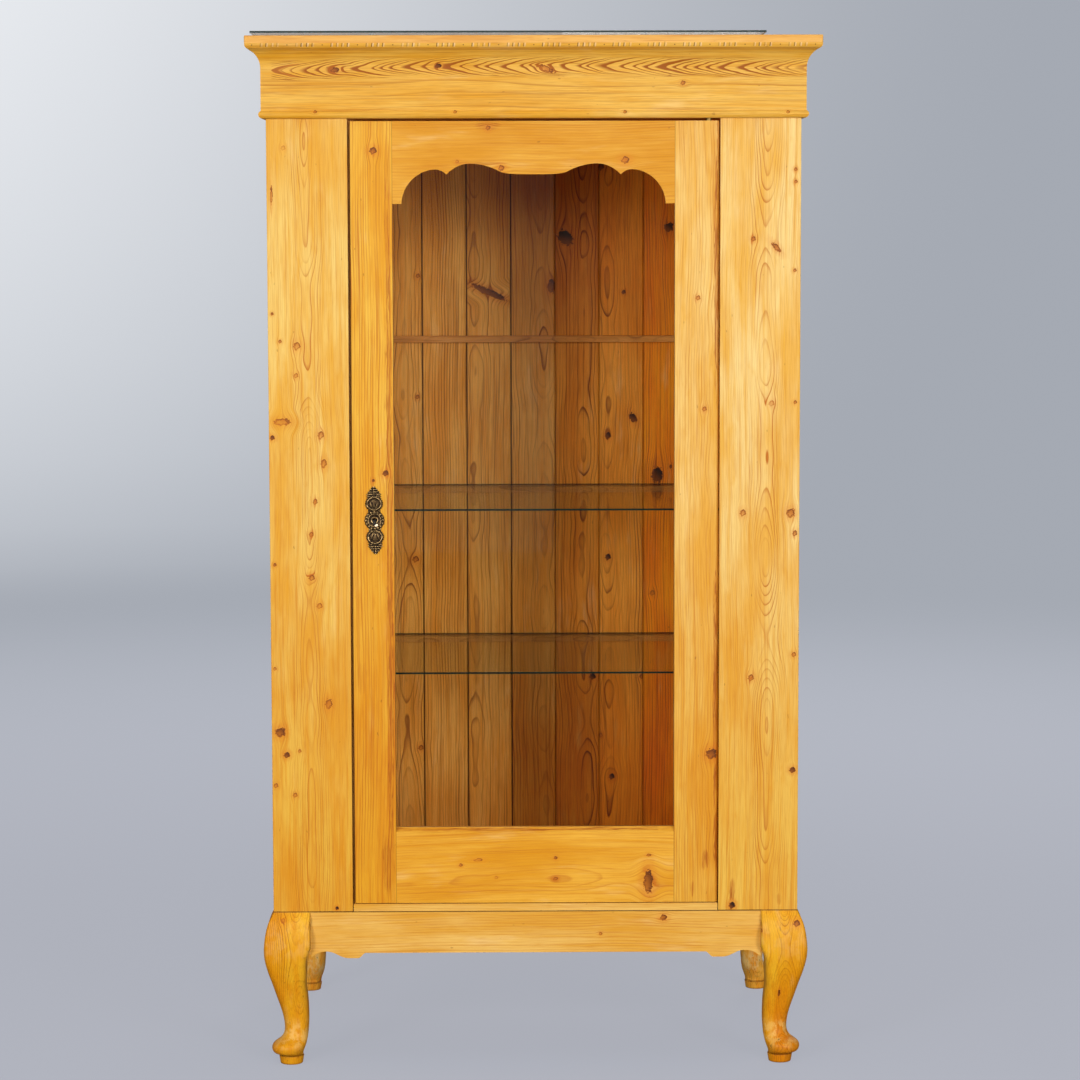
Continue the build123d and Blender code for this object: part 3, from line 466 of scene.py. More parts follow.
def frieze_lines(s, place):
    """The frieze's figure: a row of arrow-shaped arcs along its middle, opening to the right."""
    along, across = s.split(place)[:2]
    middle = s.minus(s.remap(along, -0.42, -0.16, 1.742, 1.7482), s.remap(along, 0.1, 0.45, 0, 0.003))
    ripple = s.stretched(place, (16, 70, 0), 2)
    off = s.times_plus(s.minus(ripple, 0.5), 0.006, s.minus(across, middle))
    rise = s.over(off, FIGURE_HALF)
    square = s.times(rise, rise)
    arrow = s.minus(s.maths("SQRT", s.plus(square, 0.05)), 0.22)
    bow = s.times_plus(s.times(square, square), 0.01, s.times(arrow, 0.044))
    tip = s.minus(along, bow)
    uneven = s.line_noise(tip, 15, 1)
    phase = s.times_plus(uneven, 2.6, s.over(tip, ARROW_STEP))
    each = s.line_noise(s.times(s.whole(phase), 3.7), 1, 0)
    part = s.rest(phase)
    arm = s.size(rise)
    start = s.times_plus(arm, 0.22, s.remap(each, 0.35, 0.65, 0.3, 0.6))
    line = s.times(s.ramp(part, start, 0.86), s.ramp(part, 0.9, 0.97, 1, 0))
    inside = s.fall(arm, 0.72, 1.55)
    ends = s.remap(along, FIRST_TIP - 0.001, FIRST_TIP + 0.005)
    wedge = s.times(s.remap(tip, FIRST_TIP, FIRST_TIP + 0.0025),
                    s.fall(tip, FIRST_TIP + 0.01, FIRST_TIP + 0.018))
    wedge = s.times(s.times(wedge, s.remap(along, -0.43, -0.395, 1, 0.15)), s.fall(arm, 0.9, 1.5))
    line = s.times(s.times(line, inside), ends)
    return line, inside, wedge


def notch_light_and_shade(s, place):
    """Painted light in the notches of the bead: a painted highlight on the right of each notch and painted
    shade on its left, with dark dots between the groups.
    """
    along, across = s.split(place)[:2]
    group = s.within(along, NOTCH_GROUP)
    slant = s.times(s.minus(across, BEAD_MIDDLE), -0.12)
    notch = s.within(s.plus(group, slant), NOTCH_STEP)
    high = s.band(across, BEAD_MIDDLE, 0.0028, 0.0036)
    uneven = s.remap(s.line_noise(along, 90, 1), 0.35, 0.6, 0.35, 1)
    here = s.times(s.times(s.fall(s.size(group), 0.018, 0.0184), high), uneven)
    pale = s.band(notch, 0.001, 0.0009, 0.0016)
    dark = s.remap(s.size(s.plus(notch, 0.0012)), 0.0006, 0.0013, 0.8, 0)
    between = s.minus(s.size(group), 0.03)
    dot = s.vector("LENGTH", s.join(between, s.minus(across, BEAD_MIDDLE - 0.0002), 0))
    dark = s.larger(s.times(dark, here), s.remap(dot, 0.0007, 0.0013, 0.9, 0))
    return s.times(pale, here), dark


def frieze_pine(name):
    """The front cornice: the figured frieze, with plain grain above and below it."""
    s = new_material(name)
    start = board_place(s, "xzy")
    place, dark, halo = with_knots(s, start, KNOTS["cornice_front"])
    figure, inside, wedge = frieze_lines(s, place)
    dark = s.larger(dark, s.times(wedge, 0.32))
    rings = s.call(rings_group, place=place, heart=1.8, heart_depth=0.05, sway=0.004, sway_rate=2,
                   wander=0.01, ring=0.0048, seed=3.3)
    plain = s.times(rings.line, s.remap(inside, 0, 1, 0.3, 0.06))
    height = s.split(place)[1]
    on_frieze = s.times(s.remap(height, FRIEZE_FOOT, FRIEZE_FOOT + 0.004),
                        s.fall(height, FRIEZE_TOP - 0.009, FRIEZE_TOP))
    line = s.larger(plain, s.times(figure, on_frieze))
    # A painted highlight on the right of each notch, painted shade on its left, and dark dots between the
    # groups.
    notch_highlight, notch_shade_and_dots = notch_light_and_shade(s, start)
    # A painted shade line under the step below the bead.
    foot = s.band(height, BEAD_FOOT, 0.0012, 0.003, 0.35)
    wood = s.call(pine_group, flow=rings.flow, line=line, strength=1.5, dark=dark,
                  halo=s.times(halo, 0.5), stain=0.7, pale=(234, 182, 78),
                  deep=(222, 152, 18), late=(158, 84, 10), patch=foot,
                  dirt=s.times(notch_shade_and_dots, 0.85))
    colour = s.mix(s.times(notch_highlight, 0.55), wood.color, (238, 208, 160))
    return finish_surface(s, wax(s, wood, colour))


# ---- other finishes
def clear_glass(name, tint, gloss_share, edge=None):
    """Glass that lets the lamps through. edge is the colour of its cut edges, where they show."""
    s = new_material(name)
    clear = s.named("BsdfTransparent", color=tint).bsdf
    gloss = s.named("BsdfGlossy", roughness=0.02).bsdf
    slant = s.named("LayerWeight").facing
    mirror = s.times_plus(s.maths("POWER", slant, 5), 0.96, 0.04)
    sheet = s.blend(s.times(mirror, gloss_share), clear, gloss)
    if edge:
        upright = s.size(s.split(s.named("TexCoord").normal)[2])
        sheet = s.blend(s.remap(upright, 0.35, 0.65), solid(s, edge, 0.25, specular_ior_level=0.15), sheet)
    return finish_surface(s, sheet)


def metal(name, base, worn, rough=0.42):
    """Old metal, whose colour and polish change in patches."""
    s = new_material(name)
    place = s.place()
    patch = s.noise(place, 60, 4, 0.6)
    grain = s.noise(place, 840, 2, 0.6)
    colour = s.mix(s.remap(patch, 0.42, 0.66), base, worn)
    polish = s.remap(patch, 0.3, 0.7, rough + 0.12, rough - 0.1)
    return finish_surface(s, solid(s, colour, polish, relief(s, grain, 0.00015), metallic=0.9))


def clear_pad(name):
    """The slightly cloudy clear rubber of the pads under the loose sheet."""
    s = new_material(name)
    cloud = s.noise(s.place(), 300, 2)
    return finish_surface(s, solid(s, s.mix(cloud, (205, 205, 200), (228, 228, 222)),
                                   s.remap(cloud, 0.3, 0.7, 0.22, 0.4), transmission_weight=0.6))


def dress(node, material):
    """Gives a CAD node its finish."""
    for holder in nodes[node].material_slots:
        holder.material = material


def board(node, *cut, **looks):
    """Dresses a board in pine of its own, with the knots and patches that are listed for it."""
    listed = dict(knots=KNOTS.get(node, ()), patches=PATCHES.get(node, ()))
    dress(node, pine(node + "_pine", *cut, **{**listed, **looks}))


# ---- outside pine
# Knots in mm: (along, across, half length, half width, strength, turn).
KNOTS = {
    "left_pilaster": [
        (1528.7, -452.1, 16, 2.2, 0.55), (1610, -431.5, 4, 4, 0.25), (1325.3, -453.3, 2.5, 2.5, 0.7),
        (1277.7, -440, 3, 3, 0.6), (1270, -410.5, 7, 6, 0.45), (1218.8, -412.9, 4, 4, 0.4),
        (1138.5, -437.5, 6, 14, 0.45), (1111.2, -454.7, 4, 4, 0.8), (1115.6, -370.3, 7, 5, 0.5),
        (1066.6, -365.7, 8, 5, 0.5), (999.6, -381.4, 5, 4, 0.5), (942.8, -388.9, 4, 4, 0.5),
        (866.9, -388.3, 5, 5, 0.55), (817.5, -375.2, 5, 5, 0.4), (889.7, -452.6, 3, 3, 0.7),
        (707.3, -454.4, 3, 3, 0.5), (645.5, -360.4, 9, 6, 0.5), (595.6, -445.6, 8, 8, 0.75),
        (555.1, -434.6, 5, 5, 0.8), (562.1, -412.3, 3, 3, 0.5), (484.3, -420.9, 4, 4, 0.5),
        (501.2, -454.5, 4, 4, 0.5), (282.7, -349.3, 3, 3, 1)],
    "right_pilaster": [
        (1452.6, 378.3, 4, 4, 0.6), (1438.1, 417.9, 11, 4, 0.65, 0.7), (1571.8, 450.7, 3, 3, 0.6),
        (1550.8, 451.2, 3, 3, 0.6), (1398.3, 450.1, 3, 3, 0.6), (1170.4, 451.9, 3, 3, 0.6),
        (978, 362.1, 6, 5, 0.5), (977.8, 445.3, 8, 7, 0.6), (942.1, 452.4, 5, 4, 0.6),
        (729.6, 451.6, 4, 4, 0.5), (688.6, 377.1, 6, 5, 0.5), (525.4, 450.6, 5, 5, 0.8),
        (1168.5, 411, 5, 5, 0.3), (285.1, 345.6, 6, 5, 1)],
    "door_lock_stile": [
        (1605.1, -276.5, 6, 6, 0.7), (1048.9, -258.7, 5, 5, 0.8), (1036.1, -280.5, 2.5, 2.5, 0.8)],
    "door_pivot_stile": [
        (554.6, 308.3, 9, 8.5, 0.75), (1159.2, 294.3, 4, 4, 0.5), (1351.4, 283, 4, 4, 0.5)],
    "door_top_rail": [
        (-56.2, 1574.9, 5, 5, 0.6), (157.5, 1588.7, 7, 6, 0.55), (-78.8, 1643.5, 4, 4, 0.6),
        (-132.3, 1586, 3, 3, 0.4)],
    "door_bottom_rail": [
        (-131.3, 358.5, 3, 3, 0.6), (-100.2, 367.7, 8, 3, 0.4), (35.2, 370.7, 3, 3, 0.7),
        (35.1, 333.6, 4, 3, 0.6), (198.1, 327.4, 8, 20, 0.75), (199, 368, 4, 4, 0.6), (-69, 336, 3, 3, 0.3)],
    "front_apron": [(224.9, 264.1, 6, 5, 0.7), (114, 235, 3, 3, 0.5)],
    "cornice_front": [
        (-340.4, 1742.4, 8, 4.5, 0.75), (-164, 1748.9, 6, 4, 0.85), (20, 1744, 16, 5, 0.55, 0.35),
        (256, 1719.3, 4, 4, 0.6), (-471.7, 1794, 3, 3, 0.6), (-413.8, 1793.9, 3, 3, 0.6),
        (-166.7, 1795.2, 3, 3, 0.5), (85.7, 1794.7, 3, 3, 0.6), (220.5, 1791.1, 3, 3, 0.5),
        (-375.1, 1670.9, 3, 3, 0.6), (-135.2, 1670.5, 3, 3, 0.5), (156.4, 1670, 3, 3, 0.6),
        (436.2, 1669.4, 3, 3, 0.5)],
    "left_side": [
        (1320, -120, 9, 8, 0.7), (740, 140, 11, 9, 0.75), (1020, -200, 6, 5, 0.6), (470, -20, 8, 7, 0.7)],
    "right_side": [
        (1480, 110, 9, 8, 0.7), (860, -150, 10, 8, 0.75), (1150, 200, 6, 6, 0.6), (550, 40, 8, 7, 0.7)],
    "front_left_leg": [(262, -444, 4, 4, 0.3)],
    "front_right_leg": [
        (254.3, 458.8, 5.5, 5.5, 0.7), (247.5, 388.5, 12, 4, 0.55, 0.9), (127, 429, 6, 2, 0.8),
        (73, 452, 3, 3, 0.5)],
    "back_left_leg": [(150, -405, 6, 4, 0.7), (110, -415, 4, 6, 0.7)],
    "back_right_leg": [(152, 408, 9, 7, 0.65)],
}
# Stains and strong grain in mm: (along, across, half length, half width, strength).
PATCHES = {
    "door_lock_stile": [
        (950, -252, 680, 8, 0.75), (720, -250, 120, 7, 1), (690, -302, 30, 12, 0.4),
        (360, -260, 60, 12, 0.6)],
    "right_pilaster": [(312, 345.5, 26, 6, 0.9), (296, 428.4, 12, 6, 0.5)],
    "door_bottom_rail": [(0, 421.4, 300, 3.4, 0.9), (196, 333, 20, 10, 0.5)],
    "door_pivot_stile": [
        (1400, 315, 260, 5.5, 1), (660, 315, 250, 5.5, 1), (366, 297.8, 20, 7, 0.7),
        (314, 275.1, 16, 5, 0.7), (401, 316, 60, 5, 1)],
    "door_top_rail": [(-78.8, 1648, 24, 10, 0.6), (-90, 1583, 55, 4, 0.6), (-170, 1580, 30, 4, 0.35)],
}


def dress_front():
    """The pilasters, door frame, sill and front apron."""
    board("left_pilaster", "zxy", -0.393, FRONT, seed=1, heart_depth=0.016, sway=0.024, sway_rate=3.6,
          ring=0.003, flank=0.3, strength=0.9)
    board("right_pilaster", "zxy", 0.402, FRONT, seed=2.6, sway=0.022, sway_rate=3.4, ring=0.0031,
          flank=0.35, strength=0.85, pale=(244, 210, 132), deep=(230, 164, 30))
    board("door_lock_stile", "zxy", -0.215, FRONT, seed=4.2, heart_depth=0.02, strength=0.8, grain=1,
          pale=(238, 184, 64), deep=(224, 148, 0), joints=(-0.3172, -0.244, 0.0012, 0.5))
    board("door_pivot_stile", "zxy", 0.345, FRONT, seed=5.9, heart_depth=0.02, sway=0.012, sway_rate=9,
          strength=0.55, grain=0.6, pale=(242, 202, 118), deep=(228, 160, 30),
          joints=(0.2427, 0.3199, 0.0012, 0.5))
    board("door_top_rail", "xzy", 1.5, FRONT, seed=7.1, heart_depth=0.03, pale=(228, 166, 54),
          deep=(212, 138, 2), age=None)
    board("door_bottom_rail", "xzy", 0.33, FRONT, seed=8.4, heart_depth=0.03, pale=(238, 176, 58),
          deep=(218, 142, 0), age=None)
    warm = dict(pale=(238, 188, 94), deep=(222, 154, 34), age=None)
    board("front_apron", "xzy", 0.3, FRONT, seed=9.7, heart_depth=0.02,
          joints=(0, 0.2772, 0.0026, 0.9), **warm)
    board("sill_strip", "xzy", 0.3, FRONT, seed=11.2, **warm)
    board("front_top_rail", "xzy", 1.64, FRONT, seed=12.9, **warm)


def dress_cornice():
    """The three lengths of moulding and the board on top."""
    dress("cornice_front", frieze_pine("cornice_pine"))
    side = dict(heart_depth=0.03, sway=0.012, strength=0.6, pale=(238, 176, 78),
                deep=(226, 152, 50))
    board("cornice_left", "yzx", 1.73, -0.468, seed=14.1, **side)
    board("cornice_right", "yzx", 1.72, 0.468, seed=15.3, **side)
    board("roof_board", "xyz", 0.02, 1.8, seed=16.8, heart_depth=0.05, pale=(236, 180, 90),
          deep=(220, 150, 60))


def dress_sides():
    """The two sides and the aprons that the front doesn't show."""
    broad = dict(heart_depth=0.04, sway=0.02, wander=0.04, ring=0.0055, strength=0.55)
    board("left_side", "zyx", 0.05, -0.46, seed=18.2, **broad)
    board("right_side", "zyx", -0.03, 0.46, seed=19.6, **broad)
    warm = dict(heart_depth=0.02, pale=(238, 172, 72), deep=(222, 146, 44))
    board("left_apron", "yzx", 0.27, -0.46, seed=21.5, **warm)
    board("right_apron", "yzx", 0.26, 0.46, seed=22.7, **warm)
    board("back_apron", "xzy", 0.26, 0.31, seed=23.9, **warm)


leg_hearts = {"front_left_leg": (-0.418, -0.27), "front_right_leg": (0.438, -0.27),
              "back_left_leg": (-0.418, 0.286), "back_right_leg": (0.438, 0.286)}
front_leg_looks = dict(pale=(244, 183, 38), deep=(228, 145, 0), late=(166, 90, 0),
                       aged=(0.93, 0.77, 0.4, 1))
# The back legs' tones are paler and less darkened: painted light where they stand in shade.
back_leg_lit_looks = dict(pale=(255, 188, 72), deep=(252, 148, 4), late=(150, 70, 4),
                      aged=(1, 0.98, 0.8, 1))
TOE, KNEE, PAD_GROOVE, LEG_TOP = 0.055, 0.225, 0.0155, 0.2765      # heights on a leg
LEG_INSIDE = 0.3967                                                # a leg's inner face, from x = 0


def leg_pine(node, x, y, number):
    """A carved leg: rings that follow its curves, pale toes and knee that are worn and carry a painted
    highlight, painted shade in the groove over the foot pad and on the inner face beside the apron, and a
    darker sole.
    """
    s = new_material(node + "_pine")
    place = board_place(s, "zxy")
    place, dark, halo = with_knots(s, place, KNOTS[node])
    place = s.vector("SUBTRACT", place, (0, 0, y))
    rings = s.call(rings_group, place=place, heart=x, heart_depth=0.03, sway=0.01, ring=0.0036,
                   seed=31 + 2.3 * number)
    height, across = s.split(place)[:2]
    scuffs = s.stretched(place, (55, 75, 75), 3, 0.65)
    # Toes and knee: wear, with a painted highlight where they stand out.
    toe = s.band(height, TOE, 0.008, 0.034, 0.95)
    knee = s.band(height, KNEE, 0.01, 0.05, 0.15)
    worn = s.times(s.larger(toe, knee), s.remap(scuffs, 0.42, 0.62))
    # Painted shade over the leg's inner face, beside the apron.
    beside = s.remap(s.size(across), LEG_INSIDE, LEG_INSIDE + 0.0025, 0.32, 0)
    beside = s.times(beside, s.remap(height, 0.198, 0.206))
    top = s.remap(height, LEG_TOP - 0.002, LEG_TOP, 0, 0.75)
    # Painted shade in the groove between the toe and the pad.
    shade_in_groove = s.band(height, PAD_GROOVE, 0.0008, 0.0028, 0.45)
    sole = s.remap(height, 0, 0.004, 0.5, 0)
    marks = s.remap(s.stretched(place, (110, 150, 150), 1), 0.7, 0.78, 0, 0.5)
    low = s.remap(height, 0.2, 0.08)
    dirt = s.larger(s.larger(shade_in_groove, sole), s.times(marks, low))
    dirt = s.larger(dirt, s.larger(beside, top))
    wood = s.call(pine_group, flow=rings.flow, line=rings.line, dark=dark, halo=halo, stain=0.9,
                  strength=0.9 if number == 0 else 0.6, worn=worn, dirt=dirt, age=low, grain=0.2,
                  **(front_leg_looks if y < 0 else back_leg_lit_looks))
    return finish_surface(s, wax(s, wood, coat=0.05))


def dress_legs():
    """The four legs, each round its own heart."""
    for number, (node, (x, y)) in enumerate(leg_hearts.items()):
        dress(node, leg_pine(node, x, y, number))


# ---- inside pine
# The back boards' knots, each on the board that it lies across.
BACK_KNOTS = [
    (1380.9, -217.3, 4, 4, 0.6), (1149.8, -219.4, 4, 4, 0.6), (837.5, -224.1, 6, 6, 0.6),
    (471, -216.2, 5, 5, 0.6), (1350, -83, 6, 36, 0.82, -0.42), (1452.1, 64.6, 18, 12, 0.98, 0.7),
    (1360.3, 37.5, 14, 7, 0.8), (608.7, 116.1, 6, 6, 0.95), (840.8, 145.9, 6, 5, 0.95),
    (1074.9, 145.9, 7, 5, 0.92), (413.3, 153.1, 6, 5, 0.95), (1349, 175.4, 4, 4, 0.85),
    (1587.4, 133.1, 7, 5, 0.85), (494.2, 130.9, 4, 4, 0.6), (1109.2, 193.8, 10, 6, 0.93, 0.5),
    (1472.3, 261.5, 9, 8, 0.95), (998.1, 240, 15, 10, 0.95), (1014.8, 264, 4, 4, 0.8),
    (770.8, 231, 5, 5, 0.5), (609, 211.5, 5, 5, 0.7)]
# These tones also paint the cabinet's light: lighter and greyer on the left, darker brown right of the
# middle, brighter red on the right.
greyed = dict(pale=(250, 184, 84), deep=(232, 148, 34), late=(140, 72, 14))
middling = dict(pale=(250, 168, 56), deep=(230, 136, 16), late=(130, 62, 6))
browner = dict(pale=(240, 156, 44), deep=(218, 124, 8), late=(120, 54, 2))
reddish = dict(pale=(255, 160, 12), deep=(240, 124, 0), late=(146, 62, 0))
# What differs from board to board, by the board's number.
board_tones = {6: greyed, 7: browner, 8: middling}
# How much darker the inside boards grow towards their top, and some towards their bottom too.
left_darkening = dict(age=(1.3, 1.62), aged=(0.74, 0.68, 0.5, 1))
middle_darkening = dict(age=(1.15, 1.4, 0.74, 0.44), aged=(0.7, 0.57, 0.26, 1))
right_darkening = dict(age=(1.15, 1.42, 0.7, 0.42), aged=(0.8, 0.64, 0.22, 1))
board_darkening = {5: dict(age=(1.22, 1.52), aged=(0.72, 0.64, 0.38, 1)), 6: middle_darkening, 7: middle_darkening}
board_hearts = {4: -0.228, 9: 0.146}


def inside_pine(node, axes, heart, face, **more):
    """Dresses a board inside in unwaxed pine, which has darkened with age."""
    looks = dict(pale=(226, 158, 78), deep=(200, 124, 40), late=(128, 70, 20), age=None,
                 strength=0.75, heart_depth=0.02, sway=0.014, sway_rate=6, ring=0.005, stain=0.8)
    board(node, axes, heart, face, coat=0, **{**looks, **more})


def dress_inside():
    """The back boards, the battens and the boards that the pane shows."""
    for number in range(1, 12):
        node = f"back_board_{number:02d}"
        low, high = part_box(node)
        own_knots = [knot for knot in BACK_KNOTS if low[0] < knot[1] / 1000 < high[0]]
        heart = board_hearts.get(number, (low[0] + high[0]) / 2 + 0.03 * math.sin(number * 2.2))
        toned = board_tones.get(number, greyed if number < 7 else reddish)
        ages = board_darkening.get(number, left_darkening if number < 7 else right_darkening)
        inside_pine(node, "zxy", heart, BOARDS, knots=own_knots, strength=1, grain=0.75,
                    joints=(low[0], high[0], 0.0034, 0.9 if number < 7 else 0.4),
                    seed=41 + 1.7 * number, **toned, **ages)
    others = {"lower_back_batten": "xzy", "upper_back_batten": "xzy", "top_back_batten": "xzy",
              "left_shelf_battens": "yzx", "right_shelf_battens": "yzx", "floor_board": "xyz",
              "ceiling_board": "xyz", "door_stop": "zxy", "glazing_side_beads": "zxy",
              "glazing_cross_beads": "xzy"}
    for number, (node, axes) in enumerate(others.items()):
        middle = sum(map(Vector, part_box(node)), Vector()) / 2
        inside_pine(node, axes, *[middle["xyz".index(axis)] for axis in axes[1:]],
                    seed=71 + 1.9 * number)


# ---- glass and metal
def dress_glass():
    """The pane, the shelves and the loose sheet with its pads."""
    dress("door_glass", clear_glass("door_pane_glass", (0.99, 0.99, 0.975, 1), 0.32))
    shelf = clear_glass("shelf_glass", (0.975, 0.985, 0.97, 1), 0.5, edge=(12, 34, 28))
    for node in ("upper_glass_shelf", "lower_glass_shelf", "top_glass_sheet"):
        dress(node, shelf)
    dress("glass_pads", clear_pad("clear_pads_finish"))


KEYHOLE = (-0.2784, 0.967)      # middle of the keyhole plate's boss, across and up
# In mm from there: the boss's edge, the middle of a shell and half its height, the foot of a leaf
# tip, where its veins take over from the shell's flutes, and its end.
BOSS, SHELL, SHELL_REACH, LEAF_FOOT, VEINS, PLATE_END = 17.2, 28.8, 13.6, 37, 42, 59
BEAD_RING = {"Beads": 16, "Ring Radius": 0.0145, "Bead Radius": 0.0026, "Bead Height": 0.75}


def add_piece(name, data):
    """A new object in the scene."""
    made = bpy.data.objects.new(name, data)
    bpy.context.collection.objects.link(made)
    return made


def kept_mesh(mesh, name):
    """Turns a mesh under work into one that an object can hold."""
    data = bpy.data.meshes.new(name)
    mesh.to_mesh(data)
    mesh.free()
    return data


def closed_mesh(mesh, rings, name):
    """A closed solid through rings of points, capped at both ends, with its faces outwards."""
    for ring, after in zip(rings, rings[1:]):
        for here in range(len(ring)):
            mesh.faces.new((ring[here - 1], ring[here], after[here], after[here - 1]))
    mesh.faces.new(rings[0])
    mesh.faces.new(rings[-1])
    bmesh.ops.recalc_face_normals(mesh, faces=mesh.faces)
    return kept_mesh(mesh, name)


def settle(piece):
    """Makes what the modifiers show into the piece's own smooth mesh."""
    seen = piece.evaluated_get(bpy.context.evaluated_depsgraph_get())
    finished = bpy.data.meshes.new_from_object(seen)
    piece.modifiers.clear()
    piece.data = finished
    for polygon in finished.polygons:
        polygon.use_smooth = True
    return finished


def plate_half_width(up):
    """Half the keyhole plate's width, in mm, at a height up from the middle of its boss."""
    size = abs(up)
    widths = [10.6 if size < VEINS else 0.7]
    if size < BOSS:
        scallop = 0.35 * math.cos(16 * math.asin(up / BOSS))
        widths.append(math.sqrt(BOSS ** 2 - up ** 2) + scallop)
    reach = (size - SHELL) / SHELL_REACH
    if 16 < size and abs(reach) < 1:
        widths.append(15.2 * (1 - reach ** 2) ** 0.5 + 0.5 * math.sin(size * 1.9))
    if size > LEAF_FOOT:
        leaf = 11.8 * min(1, (60 - size) / 14) ** 0.8
        widths.append(leaf * (1 + 0.1 * math.sin(size * 1.55)))
    return max(widths)


def plate_height(across, up, half_width):
    """How proud the plate stands, in mm: dished boss, fluted shells and leaf tips."""
    base, dish, collar = 1.5, 11.8, 5.4     # the boss's level, and the radii of what lies on it
    radius = math.hypot(across, up)
    if radius < collar + 1:
        return base + 0.9 * math.sqrt(max(0, 1 - ((radius - collar) / 1.2) ** 2))
    if radius < dish:
        return 1.3 + 1.4 * (radius / dish) ** 3
    if radius < BOSS + 0.2:
        return base
    share = min(abs(across) / half_width, 1)
    size = abs(up)
    level = base + 0.5 * math.sqrt(max(0, 1 - share ** 4))
    if size < VEINS:
        turn = math.atan2(across, size - 17)
        ring = math.hypot(across / 14, (size - 29.2) / 12.6)
        flute = 0.9 * abs(math.cos(turn * 5.5)) * min(1, max(0, (size - 16) / 8))
        rim = max(0, 1 - ((ring - 0.86) / 0.13) ** 2)
        shell = 0.8 * math.sqrt(max(0, 1 - min(1, ring / 0.5) ** 2))
        return level + flute * 0.7 + rim + shell
    turn = math.atan2(across, size - 38)
    vein = abs(math.sin(turn * 4.2 + 0.4)) * (0.5 + 0.5 * math.sin(size * 1.55))
    return level + 1.1 * vein + 0.6 * math.exp(-(across / 1.6) ** 2)


def plate_ridge(across, up, half_width):
    """How far a spot stands above what lies round it: 1 on a ridge, -1 in a crease."""
    level = plate_height(across, up, half_width)
    sides = [plate_height(across + a, up + b, half_width) for a, b in ((1, 0), (-1, 0), (0, 1), (0, -1))]
    return max(-1, min(1, (level - sum(sides) / 4) / 0.22))


def closed_plate(name, rows=236, columns=54):
    """The keyhole plate as a closed solid, in mm round the middle of its boss. Its points carry how
    far each stands above what lies round it."""
    mesh = bmesh.new()
    ridge = mesh.verts.layers.float.new("ridge")
    rings = []
    for row in range(rows + 1):
        up = -PLATE_END + 2 * PLATE_END * row / rows
        half = plate_half_width(up)
        rings.append([mesh.verts.new((-half, 0, up))])
        for column in range(columns + 1):
            across = half * math.sin(math.pi / 2 * (2 * column / columns - 1))
            spot = mesh.verts.new((across, -plate_height(across, up, half), up))
            spot[ridge] = plate_ridge(across, up, half)
            rings[-1].append(spot)
        rings[-1].append(mesh.verts.new((half, 0, up)))
    return closed_mesh(mesh, rings, name)


def bead_ring_tree(material):
    """Geometry nodes for a ring of round beads in the ring's own plane. Sizes in metres."""
    tree = bpy.data.node_groups.new("bead_ring", "GeometryNodeTree")
    keys = {}
    for label, usual in BEAD_RING.items():
        kind = "NodeSocketInt" if isinstance(usual, int) else "NodeSocketFloat"
        socket = tree.interface.new_socket(label, in_out="INPUT", socket_type=kind)
        socket.default_value = usual
        keys[label] = socket.identifier
    tree.interface.new_socket("geometry", in_out="OUTPUT", socket_type="NodeSocketGeometry")
    s = Tree(tree)
    given = s.named("NodeGroupInput")
    ring = s.named("GeometryNodeMeshCircle", vertices=given.beads, radius=given.ring_radius).mesh
    bead = s.named("GeometryNodeMeshUVSphere", segments=16, rings=10, radius=given.bead_radius).mesh
    height = s.join(1, 1, given.bead_height)
    placed = s.named("GeometryNodeInstanceOnPoints", points=ring, instance=bead, scale=height).instances
    beads = s.named("GeometryNodeRealizeInstances", geometry=placed).geometry
    dressed = s.named("GeometryNodeSetMaterial", geometry=beads, material=material).geometry
    return s.close(geometry=dressed), keys


def make_plate_beads(place, brass):
    """The ring of beads round the boss of the keyhole plate."""
    tree, keys = bead_ring_tree(brass)
    beads = add_piece("keyhole_plate_beads", bpy.data.meshes.new("keyhole_plate_beads"))
    maker = beads.modifiers.new("bead_ring", "NODES")
    maker.node_group = tree
    for label, value in BEAD_RING.items():
        maker[keys[label]] = value
    finished = settle(beads)
    ridge = finished.attributes.new("ridge", "FLOAT", "POINT")
    for vertex, value in zip(finished.vertices, ridge.data):
        value.value = min(1, vertex.co.z / 0.0016 - 0.35)       # bright tops and dark feet
    outward = Matrix.Translation((0, -0.002, 0)) @ Matrix.Rotation(math.radians(90), 4, "X")
    finished.transform(place @ outward)
    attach(beads, "door")


def keyhole_tool():
    """A closed keyhole shape that is cut through the plate: a round hole with a slot below it."""
    radius, middle, slot_half, slot_foot = 3.4, 1.2, 2.1, -8.2
    start, sweep, steps = -42, 264, 24      # of the round part, in degrees
    outline = []
    for step in range(steps + 1):
        turn = math.radians(start + sweep * step / steps)
        outline.append((radius * math.cos(turn), middle + radius * math.sin(turn)))
    outline += [(-slot_half, slot_foot), (slot_half, slot_foot)]
    mesh = bmesh.new()
    rings = [[mesh.verts.new((x, depth, z)) for x, z in outline] for depth in (-9, 6)]
    return closed_mesh(mesh, rings, "keyhole_tool")


